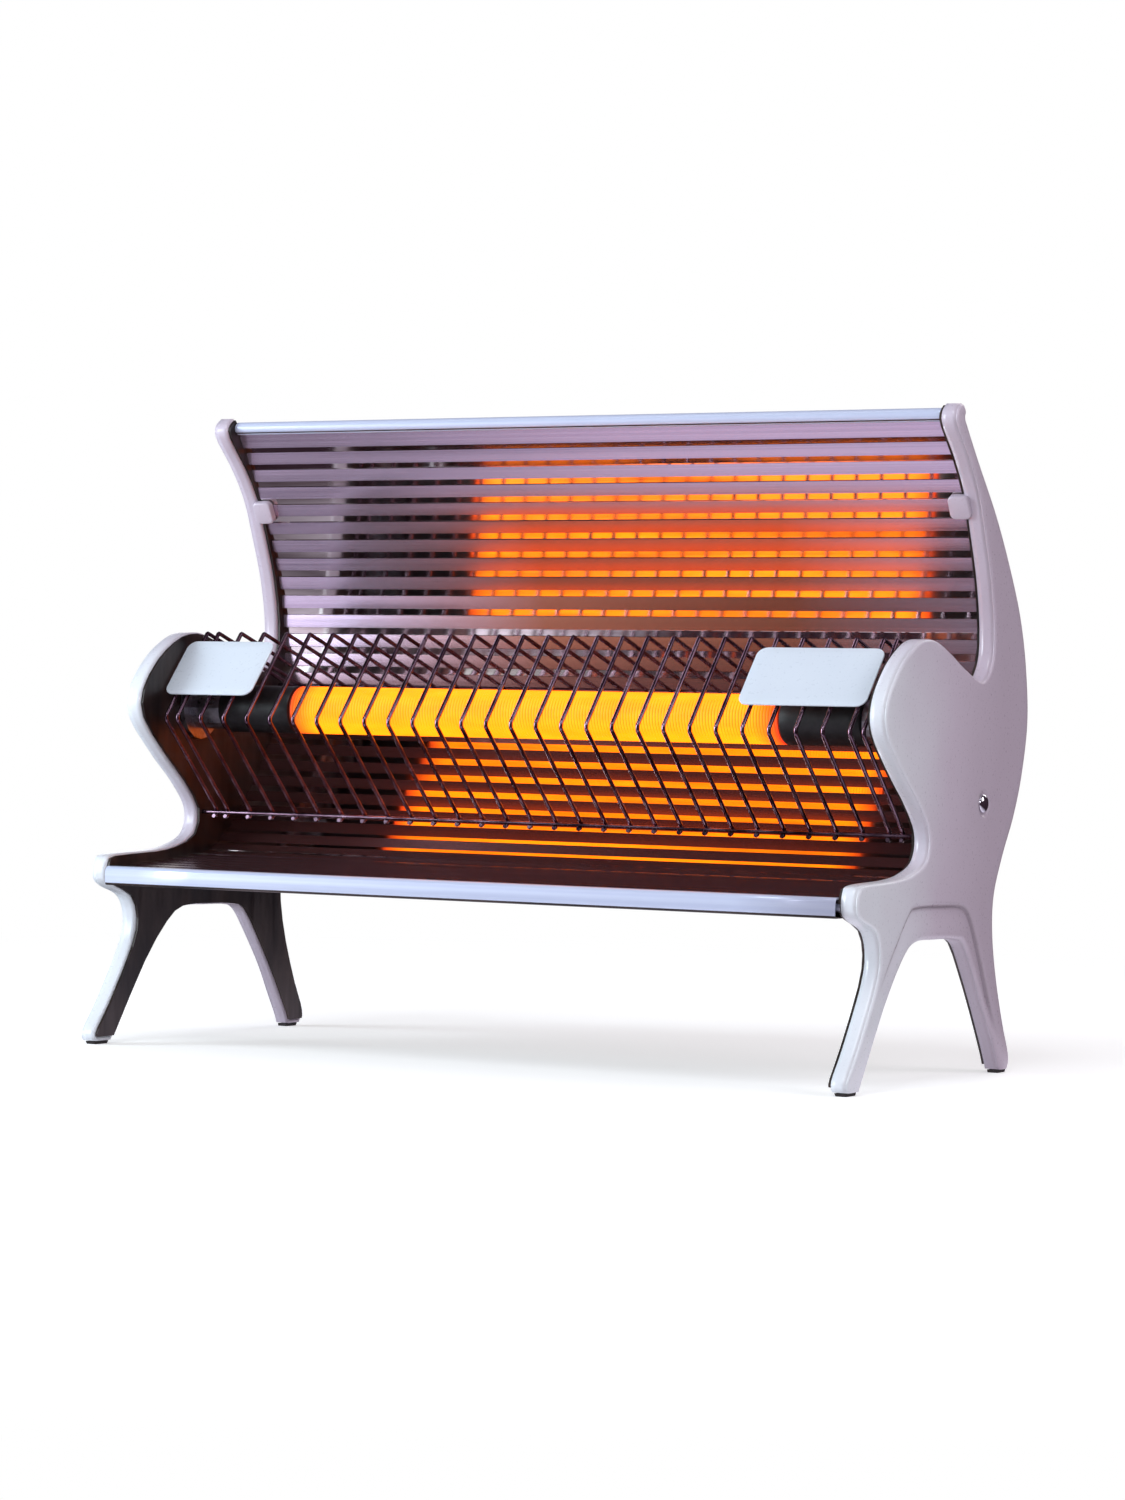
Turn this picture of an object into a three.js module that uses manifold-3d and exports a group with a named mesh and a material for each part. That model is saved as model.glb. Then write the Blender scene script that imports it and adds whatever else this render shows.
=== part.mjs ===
// A radiant room heater: a ceramic rod with a glowing wire winding stands in front of a ribbed
// mirror sheet, behind a guard of bent wires, between two moulded side panels with splayed legs.
// Millimetres, +Z up, the glowing side faces -Y, and X runs along the rod.
import * as THREE from 'three';
import { mergeVertices } from 'three/addons/utils/BufferGeometryUtils.js';
import Module from 'manifold-3d';

const wasm = await Module();
wasm.setup();

// Overall body
const innerWidth = 400; // clear width between the two inner plates
const panelThick = 10; // inner plate, its seat and the moulded panel together
const panelDepth = 204; // front foot to the bulge of the back
const panelHeight = 320; // floor to the tip
const seatGap = 0.3; // air between pieces that rest on each other
const overrun = 2; // how far a cutting shape runs past what it cuts

// Side panel and inner plate
const plateThick = 1.2;
const plateInset = 0.6; // the steel plate stays this far inside the panel's outline
const panelWall = 2.2; // wall of the hollow moulding
const panelChamfer = 2.2; // outer edge
const padThick = 1.5; // rubber pad under each leg
const bossRadius = 6;
const screwDishRadius = 6.4; // shallow dish round the side screw
const screwDishDepth = 1.1;
const lugReach = 7; // the lug laps over the mirror sheet this far
const lugThick = 3.5;
const lugHeight = 12;
const lugHoleRadius = 0.9;

// Mirror sheet
const sheetThick = 0.6;
const ribPitch = 10.25;
const grooveWidth = 3.9;
const grooveDepth = 0.9;

// Rolled edge along the top, folded lip along the front
const beadRadius = 3.25;
const beadWall = 0.8;
const lipHeight = 9.4;
const lipDepth = 8;
const lipWall = 0.8;
const lipCorner = 2;

// Back and bottom covers
const coverThick = 0.8;
const coverInset = 7; // the covers lie this far inside the panels' back edge
const ventLength = 26;
const ventHeight = 4;
const ventPitchX = 36;
const ventColumns = 8;
const ventRows = 3;
const tabWidth = 13; // bent tabs of the inner plates that carry the back cover
const tabReach = 14;
const tabThick = 1.5;
const curveGap = 0.8; // what lies flat on the curved cover touches it at its middle only

// Rod with its winding
const rodRadius = 9.2;
const rodBore = 3.6;
const rodRecess = 3.3; // the rod's end lies this far inside its cap
const windingRadius = 11.2; // to the middle of the wire
const windingWire = 0.8; // radius of the wire
const windingTurns = 48;
const capRadius = 12;
const capLength = 42;
const holderFlangeRadius = 16;
const holderFlangeThick = 2.5;
const holderNeckRadius = 10.5;
const holderLength = 20.1; // from the inner plate to the cap
const studRadius = 2;
const studNutWidth = 7; // across the flats
const studNutThick = 3.2;

// Tie rods between the inner plates
const tieRadius = 2;
const crossBarRadius = 4;
const screwRadius = 1.9;
const screwLength = 24;
const screwHeadRadius = 4.6;
const screwHeadHeight = 2.4;

// Wire guard and the two bare plates on it
const guardWire = 1.05; // radius
const guardSides = 4;
const guardPitch = 13.8;
const guardEndStep = 6.9; // from the last regular wire to the one beside the panel
const guardBend = 5;
const labelLengths = { left: 52, right: 66 };
const labelSideGaps = { left: 1, right: 9 }; // to the inner plates
const labelHeight = 36;
const labelThick = 1;
const labelCorner = 5;

// Wiring
const leadRadius = 1.3;
const leadSides = 8;
const leadBend = 6 * leadRadius; // of a supply lead
const earthBend = 3 * leadRadius;
const leadHoleRadius = 4.5 * leadRadius; // wide enough for the lead to turn in
const leadAhead = 3 * leadRadius; // straight length in front of that hole
const leadBehind = 4 * leadRadius; // and behind it
const leadStandOff = 2 * leadRadius; // from a plate, or from the block's mouth
const blockWidth = 14;
const blockDepth = 16;
const blockHeight = 30;
const blockScrewPitch = 9;
const blockScrewRadius = 2.6;
const earthHeadRadius = 4;
const earthHeadHeight = 2.5;
const earthReach = 4; // of its shank past the plate
const glandRadius = 6.5; // the hole it sits in
const glandLip = 2.6;
const glandLength = 6;
const glandBore = 3.6;
const coverScrewRadius = 1.5;
const coverScrewHead = 3;

// Outlines and places in the side view, as shares of the panel's depth and height.
// The panel: tip and front edge down to the front foot, the arch between the legs, the back edge.
const panelFrontShares = [
  [0.547, 1], [0.522, 0.986], [0.529, 0.966], [0.603, 0.92], [0.662, 0.872], [0.706, 0.812],
  [0.75, 0.741], [0.773, 0.672], [0.765, 0.622], [0.711, 0.592], [0.608, 0.608], [0.515, 0.631],
  [0.431, 0.647], [0.363, 0.647], [0.301, 0.633], [0.23, 0.603], [0.169, 0.555], [0.174, 0.509],
  [0.272, 0.451], [0.358, 0.409], [0.42, 0.366], [0.407, 0.327], [0.333, 0.308], [0.24, 0.3],
  [0.069, 0.295], [0.037, 0.284], [0.034, 0.258], [0.064, 0.245], [0.137, 0.228], [0.164, 0.194],
  [0.145, 0.15], [0.059, 0.067], [0.008, 0.026], [0.002, 0.012], [0.015, 0],
];
const panelArchShares = [
  [0.064, 0], [0.088, 0.022], [0.201, 0.124], [0.294, 0.186], [0.363, 0.209], [0.475, 0.211],
  [0.588, 0.209], [0.642, 0.2], [0.701, 0.159], [0.779, 0.094], [0.853, 0.025], [0.872, 0],
];
const panelBackShares = [
  [0.917, 0], [0.931, 0.016], [0.922, 0.038], [0.89, 0.075], [0.843, 0.144], [0.814, 0.212],
  [0.816, 0.269], [0.863, 0.328], [0.926, 0.388], [0.972, 0.453], [1, 0.534], [0.984, 0.616],
  [0.944, 0.691], [0.877, 0.762], [0.779, 0.844], [0.657, 0.925], [0.578, 0.98],
];
const coverStartShare = 0.235; // of the back edge, where the back cover begins
const coverEndShare = 0.84;
const coverTopShare = 0.86; // of the mirror's run, where the cover's top edge meets its back
const mirrorShares = [
  [0.061, 0.276], [0.176, 0.281], [0.3, 0.287], [0.402, 0.293], [0.468, 0.301], [0.515, 0.316],
  [0.557, 0.336], [0.609, 0.369], [0.658, 0.406], [0.703, 0.444], [0.745, 0.486], [0.778, 0.53],
  [0.796, 0.578], [0.8, 0.626], [0.792, 0.677], [0.773, 0.728], [0.74, 0.785], [0.697, 0.841],
  [0.647, 0.896], [0.59, 0.951], [0.56, 0.973],
];
const beadShares = [0.556, 0.984];
const lipShares = [0.02, 0.263]; // front face, middle height
const rodShares = [0.402, 0.528];
const crossBarShares = [0.728, 0.41];
const guardFootShares = [0.443, 0.361];
const guardKneeLowShares = [0.221, 0.501];
const guardKneeHighShares = [0.221, 0.521];
const guardRidgeShares = [0.392, 0.648];
const guardHeelShares = [0.781, 0.57];
const lugShare = 0.865; // of the mirror's run
const blockShares = [0.882, 0.506];
const earthShares = [0.843, 0.406];
const leadHoleShares = [0.797, 0.491];
const ventShares = [0.45, 0.62]; // lowest and highest row along the back edge
const coverScrewShares = [0.36, 0.78]; // along the back edge
const glandShare = 0.625; // along the back edge
const glandPlaceShare = 0.8; // of the half width
const labelShare = 0.52; // middle of a bare plate, up the guard's slope
const screwRimShare = 0.9; // of the head's radius, half-way up its dome
const bendShare = 0.45; // of a stretch, the most that a bend may take

const halfWidth = innerWidth / 2;
const outerFace = halfWidth + panelThick;
const panelInner = halfWidth + plateThick + seatGap;
const guardWires = 2 * Math.floor((halfWidth - guardEndStep / 2) / guardPitch);
const capEnd = halfWidth - holderLength - 2 * seatGap;
const capStart = capEnd - capLength;
const windingHalfLength = capStart - seatGap;
const rodHalfLength = capEnd - rodRecess;
const pairs = { left: -1, right: 1 };

const finishes = {
  shell: { color: 0xd9d5dc, roughness: 0.35, metalness: 0 },
  plate: { color: 0x2a201e, roughness: 0.45, metalness: 0.3 },
  mirror: { color: 0xb9aab6, roughness: 0.12, metalness: 1 },
  chrome: { color: 0xdfe4ee, roughness: 0.1, metalness: 1 },
  cover: { color: 0x34302f, roughness: 0.5, metalness: 0.4 },
  ceramic: { color: 0xe6ddcf, roughness: 0.8, metalness: 0 },
  glow: { color: 0xffb020, roughness: 0.6, metalness: 0.2 },
  cap: { color: 0x16181a, roughness: 0.6, metalness: 0.1 },
  steel: { color: 0xa7a9ad, roughness: 0.3, metalness: 0.9 },
  guard: { color: 0x5a4d52, roughness: 0.15, metalness: 1 },
  label: { color: 0xe4e8f2, roughness: 0.3, metalness: 0.1 },
  rubber: { color: 0x1b1a1a, roughness: 0.9, metalness: 0 },
  blockPlastic: { color: 0xe8e2d0, roughness: 0.6, metalness: 0 },
  leadSleeve: { color: 0xc9b48a, roughness: 0.8, metalness: 0 },
  earthSleeve: { color: 0x6f9a32, roughness: 0.6, metalness: 0 },
};

const heater = new THREE.Group();

// Turns a side-view share pair into a point (y, z) of the model
function place([depthShare, heightShare]) {
  return new THREE.Vector2((depthShare - 0.5) * panelDepth, heightShare * panelHeight);
}

function smooth(shares) {
  return new THREE.SplineCurve(shares.map(place));
}

// A curve's point and unit tangent at a share of its length, and the normal to the tangent's left
function station(curve, share) {
  const point = curve.getPointAt(share);
  const tangent = curve.getTangentAt(share);
  return { point, tangent, normal: new THREE.Vector2(-tangent.y, tangent.x) };
}

function solidOf(geometry) {
  const bare = geometry.clone();
  bare.deleteAttribute('normal');
  bare.deleteAttribute('uv');
  const merged = mergeVertices(bare, 1e-4);
  const vertProperties = new Float32Array(merged.attributes.position.array);
  const triVerts = new Uint32Array(merged.index.array);
  return new wasm.Manifold(new wasm.Mesh({ numProp: 3, vertProperties, triVerts }));
}

function geometryOf(solid) {
  const { vertProperties, triVerts } = solid.getMesh();
  const geometry = new THREE.BufferGeometry();
  geometry.setAttribute('position', new THREE.Float32BufferAttribute(vertProperties, 3));
  geometry.setIndex(new THREE.Uint32BufferAttribute(triVerts, 1));
  geometry.computeVertexNormals();
  return geometry;
}

function addMesh(name, shape, finish) {
  const geometry = shape.isBufferGeometry ? shape : geometryOf(shape);
  const mesh = new THREE.Mesh(geometry, new THREE.MeshStandardMaterial(finish));
  mesh.name = name;
  heater.add(mesh);
}

// Local x, y, z go to the model's Y, Z, X
function turnToX(geometry) {
  const basis = new THREE.Matrix4().makeBasis(
    new THREE.Vector3(0, 1, 0), new THREE.Vector3(0, 0, 1), new THREE.Vector3(1, 0, 0),
  );
  return geometry.applyMatrix4(basis);
}

// A side-view outline drawn out along X from x0 to x1
function prism(points, x0, x1, bevel = 0) {
  const shape = new THREE.Shape(points);
  const geometry = new THREE.ExtrudeGeometry(shape, {
    depth: x1 - x0 - 2 * bevel,
    bevelEnabled: bevel > 0,
    bevelThickness: bevel,
    bevelSize: bevel,
    bevelOffset: -bevel,
    bevelSegments: 1,
    steps: 1,
  });
  geometry.translate(0, 0, x0 + bevel);
  return turnToX(geometry);
}

function box(x0, x1, y0, y1, z0, z1) {
  const geometry = new THREE.BoxGeometry(x1 - x0, y1 - y0, z1 - z0);
  return geometry.translate((x0 + x1) / 2, (y0 + y1) / 2, (z0 + z1) / 2);
}

// A solid or ring turned about an axis along X through a side-view point.
// The profile is a list of [x, radius] pairs.
function turned(profile, center, sides, closed = false) {
  const points = profile.map(([x, radius]) => new THREE.Vector2(radius, x));
  if (closed) points.push(points[0].clone());
  const geometry = new THREE.LatheGeometry(points, sides);
  const basis = new THREE.Matrix4().makeBasis(
    new THREE.Vector3(0, 1, 0), new THREE.Vector3(1, 0, 0), new THREE.Vector3(0, 0, -1),
  );
  return geometry.applyMatrix4(basis).translate(0, center.x, center.y);
}

function rodAlongX(x0, x1, radius, center, sides = 12) {
  return turned([[x0, 0], [x0, radius], [x1, radius], [x1, 0]], center, sides);
}

function tubeAlongX(x0, x1, radius, bore, center, sides = 20) {
  return turned([[x0, bore], [x0, radius], [x1, radius], [x1, bore]], center, sides, true);
}

function hexNut(x0, x1, width, bore, center) {
  const circumradius = width / 2 / Math.cos(Math.PI / 6);
  const body = solidOf(rodAlongX(x0, x1, circumradius, center, 6));
  return body.subtract(solidOf(rodAlongX(x0 - overrun, x1 + overrun, bore, center, 12)));
}

// Moves every point of a loop inwards by a distance, along the mean of its two edge normals
function insetLoop(points, distance) {
  const count = points.length;
  const turnSign = Math.sign(THREE.ShapeUtils.area(points));
  return points.map((point, i) => {
    const before = points[(i + count - 1) % count];
    const after = points[(i + 1) % count];
    const first = point.clone().sub(before).normalize();
    const second = after.clone().sub(point).normalize();
    const along = first.clone().add(second).normalize();
    const inward = new THREE.Vector2(-along.y, along.x).multiplyScalar(turnSign);
    const spread = Math.max(along.dot(first), 0.5);
    return point.clone().addScaledVector(inward, distance / spread);
  });
}

// A sheet: a run of [y, z] points and the same run moved to one side by its thickness
function sheetOutline(points, thickness) {
  const last = points.length - 1;
  const moved = points.map((point, i) => {
    const before = points[Math.max(i - 1, 0)];
    const after = points[Math.min(i + 1, last)];
    const along = after.clone().sub(before).normalize();
    return point.clone().add(new THREE.Vector2(along.y, -along.x).multiplyScalar(thickness));
  });
  return [...points, ...moved.reverse()];
}

// A round tube through a run of points, closed at both ends
function tubeThrough(points, radius, sides) {
  const tangents = points.map((point, i) => {
    const before = points[Math.max(i - 1, 0)];
    const after = points[Math.min(i + 1, points.length - 1)];
    return after.clone().sub(before).normalize();
  });
  const start = Math.abs(tangents[0].x) < 0.9 ? new THREE.Vector3(1, 0, 0) : new THREE.Vector3(0, 0, 1);
  let side = start.addScaledVector(tangents[0], -start.dot(tangents[0])).normalize();
  const positions = [];
  points.forEach((point, i) => {
    side = side.clone().addScaledVector(tangents[i], -side.dot(tangents[i])).normalize();
    const other = tangents[i].clone().cross(side);
    for (let k = 0; k < sides; k += 1) {
      const angle = (2 * Math.PI * k) / sides;
      const ring = point.clone().addScaledVector(side, radius * Math.cos(angle));
      ring.addScaledVector(other, radius * Math.sin(angle));
      positions.push(ring.x, ring.y, ring.z);
    }
  });
  const index = [];
  for (let i = 0; i + 1 < points.length; i += 1) {
    for (let k = 0; k < sides; k += 1) {
      const a = i * sides + k;
      const b = i * sides + ((k + 1) % sides);
      index.push(a, b, a + sides, b, b + sides, a + sides);
    }
  }
  const end = (points.length - 1) * sides;
  for (let k = 1; k + 1 < sides; k += 1) {
    index.push(0, k + 1, k, end, end + k, end + k + 1);
  }
  const geometry = new THREE.BufferGeometry();
  geometry.setAttribute('position', new THREE.Float32BufferAttribute(positions, 3));
  geometry.setIndex(index);
  geometry.computeVertexNormals();
  return geometry;
}

// A run of points with each inner corner cut back, or rounded in three steps
function roundedRun(corners, reach, round = true) {
  const run = [corners[0]];
  for (let i = 1; i + 1 < corners.length; i += 1) {
    const back = corners[i - 1].clone().sub(corners[i]);
    const ahead = corners[i + 1].clone().sub(corners[i]);
    const trim = Math.min(reach, back.length() * bendShare, ahead.length() * bendShare);
    const enter = corners[i].clone().addScaledVector(back.normalize(), trim);
    const leave = corners[i].clone().addScaledVector(ahead.normalize(), trim);
    const middle = corners[i].clone().multiplyScalar(2).add(enter).add(leave).divideScalar(4);
    run.push(...(round ? [enter, middle, leave] : [enter, leave]));
  }
  run.push(corners[corners.length - 1]);
  return run;
}

const frontCurve = smooth(panelFrontShares);
const archCurve = smooth(panelArchShares);
const backCurve = smooth(panelBackShares);
const mirrorCurve = smooth(mirrorShares);
const bead = place(beadShares);
const lip = place(lipShares);
const rod = place(rodShares);
const crossBar = place(crossBarShares);
const lipTie = new THREE.Vector2(lip.x + lipDepth / 2, lip.y);

// The panel's outline: a closed loop with a flat foot under each leg
function panelLoop() {
  const front = frontCurve.getPoints(2 * (panelFrontShares.length - 1));
  const arch = archCurve.getPoints(2 * (panelArchShares.length - 1));
  const back = backCurve.getPoints(2 * (panelBackShares.length - 1));
  return [...front, ...arch, ...back];
}

const outline = panelLoop();

// The wall of the moulding is hollow from the inside, with a boss for the side screw
function sidePanel(side) {
  const xInner = side * panelInner;
  const xOuter = side * outerFace;
  const [x0, x1] = [Math.min(xInner, xOuter), Math.max(xInner, xOuter)];
  const past = panelChamfer + overrun;
  const full = solidOf(prism(outline, side > 0 ? x0 - past : x0, side > 0 ? x1 : x1 + past,
    panelChamfer));
  const reach = panelHeight + overrun;
  const slab = solidOf(box(x0, x1, -panelDepth, panelDepth, padThick + seatGap, reach));
  let body = full.intersect(slab);
  const [c0, c1] = side > 0 ? [x0 - overrun, x1 - panelWall] : [x0 + panelWall, x1 + overrun];
  const hollow = solidOf(prism(insetLoop(outline, panelWall), c0, c1));
  const floorCut = solidOf(box(x0 - overrun, x1 + overrun, -panelDepth, panelDepth,
    padThick + seatGap + panelWall, reach));
  body = body.subtract(hollow.intersect(floorCut));
  const boss = solidOf(rodAlongX(Math.min(xInner, xOuter - side), Math.max(xInner, xOuter - side),
    bossRadius, crossBar, 20));
  const dish = side * (outerFace - screwDishDepth);
  const beyond = side * (outerFace + overrun);
  const bossWall = side * (outerFace - screwDishDepth - panelWall);
  const dishWall = solidOf(rodAlongX(Math.min(bossWall, dish), Math.max(bossWall, dish),
    screwDishRadius + panelWall, crossBar, 24));
  body = body.add(boss).add(dishWall);
  body = body.subtract(solidOf(rodAlongX(Math.min(dish, beyond), Math.max(dish, beyond),
    screwDishRadius, crossBar, 24)));
  body = body.subtract(solidOf(rodAlongX(x0 - overrun, x1 + overrun, screwRadius + seatGap,
    crossBar, 16)));
  return body.add(solidOf(lug(side, 0))).subtract(lugHole(side));
}

// The lug starts inside the panel's rim and laps over the mirror sheet's edge
function lug(side, margin) {
  const length = lugReach + panelInner - halfWidth + panelWall;
  const geometry = new THREE.BoxGeometry(length, lugThick + 2 * margin, lugHeight + 2 * margin);
  return placeLug(geometry, side * (halfWidth - lugReach + length / 2));
}

function lugHole(side) {
  const radius = lugHoleRadius;
  const cut = new THREE.CylinderGeometry(radius, radius, lugThick + overrun, 12);
  return solidOf(placeLug(cut, side * (halfWidth - lugReach / 2)));
}

// Lays a shape, whose thickness is along its y, on the front of the mirror sheet
function placeLug(geometry, x) {
  const { point, normal } = station(mirrorCurve, lugShare);
  const center = point.clone().addScaledVector(normal, seatGap + lugThick / 2);
  geometry.rotateX(Math.atan2(normal.y, normal.x));
  return geometry.translate(x, center.x, center.y);
}

function footPad(side, loopSide) {
  const inner = side * (panelInner + panelChamfer / 2);
  const outer = side * (outerFace - panelChamfer);
  const [x0, x1] = [Math.min(inner, outer), Math.max(inner, outer)];
  const low = solidOf(prism(outline, x0, x1));
  const middle = place([0.5, 0]).x;
  const [y0, y1] = loopSide < 0 ? [-panelDepth, middle] : [middle, panelDepth];
  return low.intersect(solidOf(box(x0 - overrun, x1 + overrun, y0, y1, -overrun, padThick)));
}

// A bent tab of the inner plate, lying against the inside of the back cover
function coverTab(side, share) {
  const { point, tangent, normal } = station(backCurve, share);
  const depth = coverInset + coverThick + curveGap + tabThick / 2;
  const center = point.clone().addScaledVector(normal, depth);
  const geometry = new THREE.BoxGeometry(tabReach + plateThick, tabWidth, tabThick);
  const angle = Math.atan2(tangent.y, tangent.x);
  geometry.rotateX(angle);
  return geometry.translate(side * (halfWidth - (tabReach - plateThick) / 2), center.x, center.y);
}

// The flat steel plate that closes the moulding and carries every inner piece
function innerPlate(side) {
  const [x0, x1] = side > 0 ? [halfWidth, halfWidth + plateThick] : [-halfWidth - plateThick, -halfWidth];
  const low = padThick + seatGap + panelWall;
  let body = solidOf(prism(insetLoop(outline, plateInset), x0, x1));
  body = body.intersect(solidOf(box(x0, x1, -panelDepth, panelDepth, low, panelHeight)));
  for (const share of coverScrewShares) body = body.add(solidOf(coverTab(side, share)));
  const holes = [
    [crossBar, screwRadius], [bead, tieRadius], [lipTie, tieRadius], [rod, studRadius],
    [place(guardFootShares), guardWire], [place(guardHeelShares), guardWire],
    [place(earthShares), screwRadius], [place(leadHoleShares), leadHoleRadius],
  ];
  for (const [center, radius] of holes) {
    body = body.subtract(solidOf(rodAlongX(x0 - overrun, x1 + overrun, radius + seatGap, center)));
  }
  for (const share of coverScrewShares) body = body.subtract(coverScrewHole(side, share));
  return body.subtract(solidOf(lug(side, seatGap)));
}

// The ribbed mirror: flat lands with a shallow groove between each two
function mirrorSheet() {
  const length = mirrorCurve.getLength();
  const count = Math.floor(length / ribPitch);
  const run = [];
  const addPoint = (distance, offset) => {
    const { point, normal } = station(mirrorCurve, Math.min(distance / length, 1));
    run.push(point.clone().addScaledVector(normal, offset));
  };
  const start = (length - count * ribPitch) / 2;
  addPoint(0, 0);
  for (let i = 0; i < count; i += 1) {
    const groove = start + (i + 0.5) * ribPitch;
    addPoint(groove - grooveWidth / 2, 0);
    addPoint(groove, -grooveDepth);
    addPoint(groove + grooveWidth / 2, 0);
  }
  addPoint(length, 0);
  return prism(sheetOutline(run, sheetThick), seatGap - halfWidth, halfWidth - seatGap);
}

function topBead() {
  const end = halfWidth - seatGap;
  return tubeAlongX(-end, end, beadRadius, beadRadius - beadWall, bead, 20);
}

// A folded channel, open to the rear
function frontLip() {
  const low = lip.y - lipHeight / 2;
  const high = lip.y + lipHeight / 2;
  const rear = lip.x + lipDepth;
  const outer = [
    new THREE.Vector2(rear, high), new THREE.Vector2(lip.x + lipCorner, high),
    new THREE.Vector2(lip.x, high - lipCorner), new THREE.Vector2(lip.x, low + lipCorner / 2),
    new THREE.Vector2(lip.x + lipCorner / 2, low), new THREE.Vector2(rear, low),
  ];
  const inner = [
    new THREE.Vector2(rear, low + lipWall), new THREE.Vector2(lip.x + lipCorner, low + lipWall),
    new THREE.Vector2(lip.x + lipWall, low + lipCorner),
    new THREE.Vector2(lip.x + lipWall, high - lipCorner - lipWall / 2),
    new THREE.Vector2(lip.x + lipCorner + lipWall / 2, high - lipWall),
    new THREE.Vector2(rear, high - lipWall),
  ];
  return prism([...outer, ...inner], seatGap - halfWidth, halfWidth - seatGap);
}

// The curve of the back cover, from low to high; its top edge leans on the back of the mirror
function coverRun() {
  const run = [];
  const steps = panelBackShares.length + 3;
  for (let i = 0; i <= steps; i += 1) {
    const share = coverStartShare + ((coverEndShare - coverStartShare) * i) / steps;
    const { point, normal } = station(backCurve, share);
    run.push(point.clone().addScaledVector(normal, coverInset + coverThick));
  }
  const top = station(mirrorCurve, coverTopShare);
  run.push(top.point.clone().addScaledVector(top.normal, -sheetThick - grooveDepth - seatGap));
  return run;
}

function coverScrewAxis(share) {
  const { point, normal } = station(backCurve, share);
  const face = point.clone().addScaledVector(normal, coverInset);
  return { face, normal, angle: Math.atan2(normal.y, normal.x) };
}

// A cylinder across the back cover: it starts outside its face by one length and ends inside
function acrossCover(x, share, radius, outside, inside, sides) {
  const { face, normal, angle } = coverScrewAxis(share);
  const geometry = new THREE.CylinderGeometry(radius, radius, outside + inside, sides);
  geometry.rotateX(angle);
  const middle = face.clone().addScaledVector(normal, (inside - outside) / 2);
  return geometry.translate(x, middle.x, middle.y);
}

function coverScrewX(side) {
  return side * (halfWidth - tabReach / 2);
}

function coverScrewHole(side, share) {
  const radius = coverScrewRadius + seatGap;
  const depth = coverThick + curveGap + tabThick + overrun;
  return solidOf(acrossCover(coverScrewX(side), share, radius, overrun, depth, 12));
}

function backCover() {
  let body = solidOf(prism(sheetOutline(coverRun(), coverThick), seatGap - halfWidth,
    halfWidth - seatGap));
  for (const side of Object.values(pairs)) {
    for (const share of coverScrewShares) body = body.subtract(coverScrewHole(side, share));
  }
  const [lowShare, highShare] = ventShares;
  for (let row = 0; row < ventRows; row += 1) {
    const share = lowShare + ((highShare - lowShare) * row) / (ventRows - 1);
    const { face, angle } = coverScrewAxis(share);
    for (let column = 0; column < ventColumns; column += 1) {
      const x = (column - (ventColumns - 1) / 2) * ventPitchX;
      const slot = new THREE.BoxGeometry(ventLength, 2 * coverThick + overrun, ventHeight);
      slot.rotateX(angle).translate(x, face.x, face.y);
      body = body.subtract(solidOf(slot));
    }
  }
  const hole = acrossCover(halfWidth * glandPlaceShare, glandShare, glandRadius + seatGap, overrun,
    coverThick + overrun, 20);
  return body.subtract(solidOf(hole));
}

// Closes the underside from the lip to the foot of the back cover
function bottomCover() {
  const low = coverRun()[0];
  const front = new THREE.Vector2(lip.x + lipDepth + seatGap, lip.y - lipHeight / 2 + coverThick);
  const back = new THREE.Vector2(low.x - coverThick - seatGap, low.y);
  return prism(sheetOutline([front, back], coverThick), seatGap - halfWidth, halfWidth - seatGap);
}

function coverScrew(side, share) {
  const x = coverScrewX(side);
  const depth = coverThick + curveGap + tabThick + overrun;
  const shank = acrossCover(x, share, coverScrewRadius, seatGap + coverScrewRadius / 2, depth, 12);
  const { face, normal, angle } = coverScrewAxis(share);
  const head = new THREE.CylinderGeometry(coverScrewHead, coverScrewHead, coverScrewRadius, 16);
  head.rotateX(angle);
  const middle = face.clone().addScaledVector(normal, -seatGap - coverScrewRadius / 2);
  head.translate(x, middle.x, middle.y);
  return solidOf(shank).add(solidOf(head));
}

function gland() {
  const x = halfWidth * glandPlaceShare;
  const barrel = solidOf(acrossCover(x, glandShare, glandRadius, glandLip / 2, glandLength, 16));
  const rimRadius = glandRadius + glandLip;
  const outer = solidOf(acrossCover(x, glandShare, rimRadius, glandLip, -curveGap, 16));
  const inside = coverThick + curveGap;
  const inner = acrossCover(x, glandShare, rimRadius, -inside, inside + glandLip, 16);
  const bore = acrossCover(x, glandShare, glandBore, glandLip + overrun, glandLength + overrun, 12);
  return barrel.add(outer).add(solidOf(inner)).subtract(solidOf(bore));
}

// One unbroken wire round the rod: eight steps a turn, its ends run out along the rod
function windingRun() {
  const run = [];
  const stepsPerTurn = 8;
  const steps = windingTurns * stepsPerTurn;
  const straight = 2 * windingWire;
  const wound = 2 * (windingHalfLength - straight);
  for (let i = 0; i <= steps; i += 1) {
    const angle = (2 * Math.PI * i) / stepsPerTurn;
    const x = -wound / 2 + (wound * i) / steps;
    run.push(new THREE.Vector3(x, rod.x + windingRadius * Math.sin(angle),
      rod.y - windingRadius * Math.cos(angle)));
  }
  const first = run[0].clone();
  const last = run[run.length - 1].clone();
  first.x = -windingHalfLength;
  last.x = windingHalfLength;
  return [first, ...run, last];
}

// Least distance between two stretches of the winding that lie more than half a turn apart
function leastGap(run, radius) {
  const fine = [];
  for (let i = 0; i + 1 < run.length; i += 1) {
    for (let k = 0; k < 4; k += 1) fine.push(run[i].clone().lerp(run[i + 1], k / 4));
  }
  let least = Infinity;
  for (let i = 0; i < fine.length; i += 1) {
    for (let j = i + 16; j < Math.min(i + 80, fine.length); j += 1) {
      least = Math.min(least, fine[i].distanceTo(fine[j]));
    }
  }
  return least - 2 * radius;
}

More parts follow.
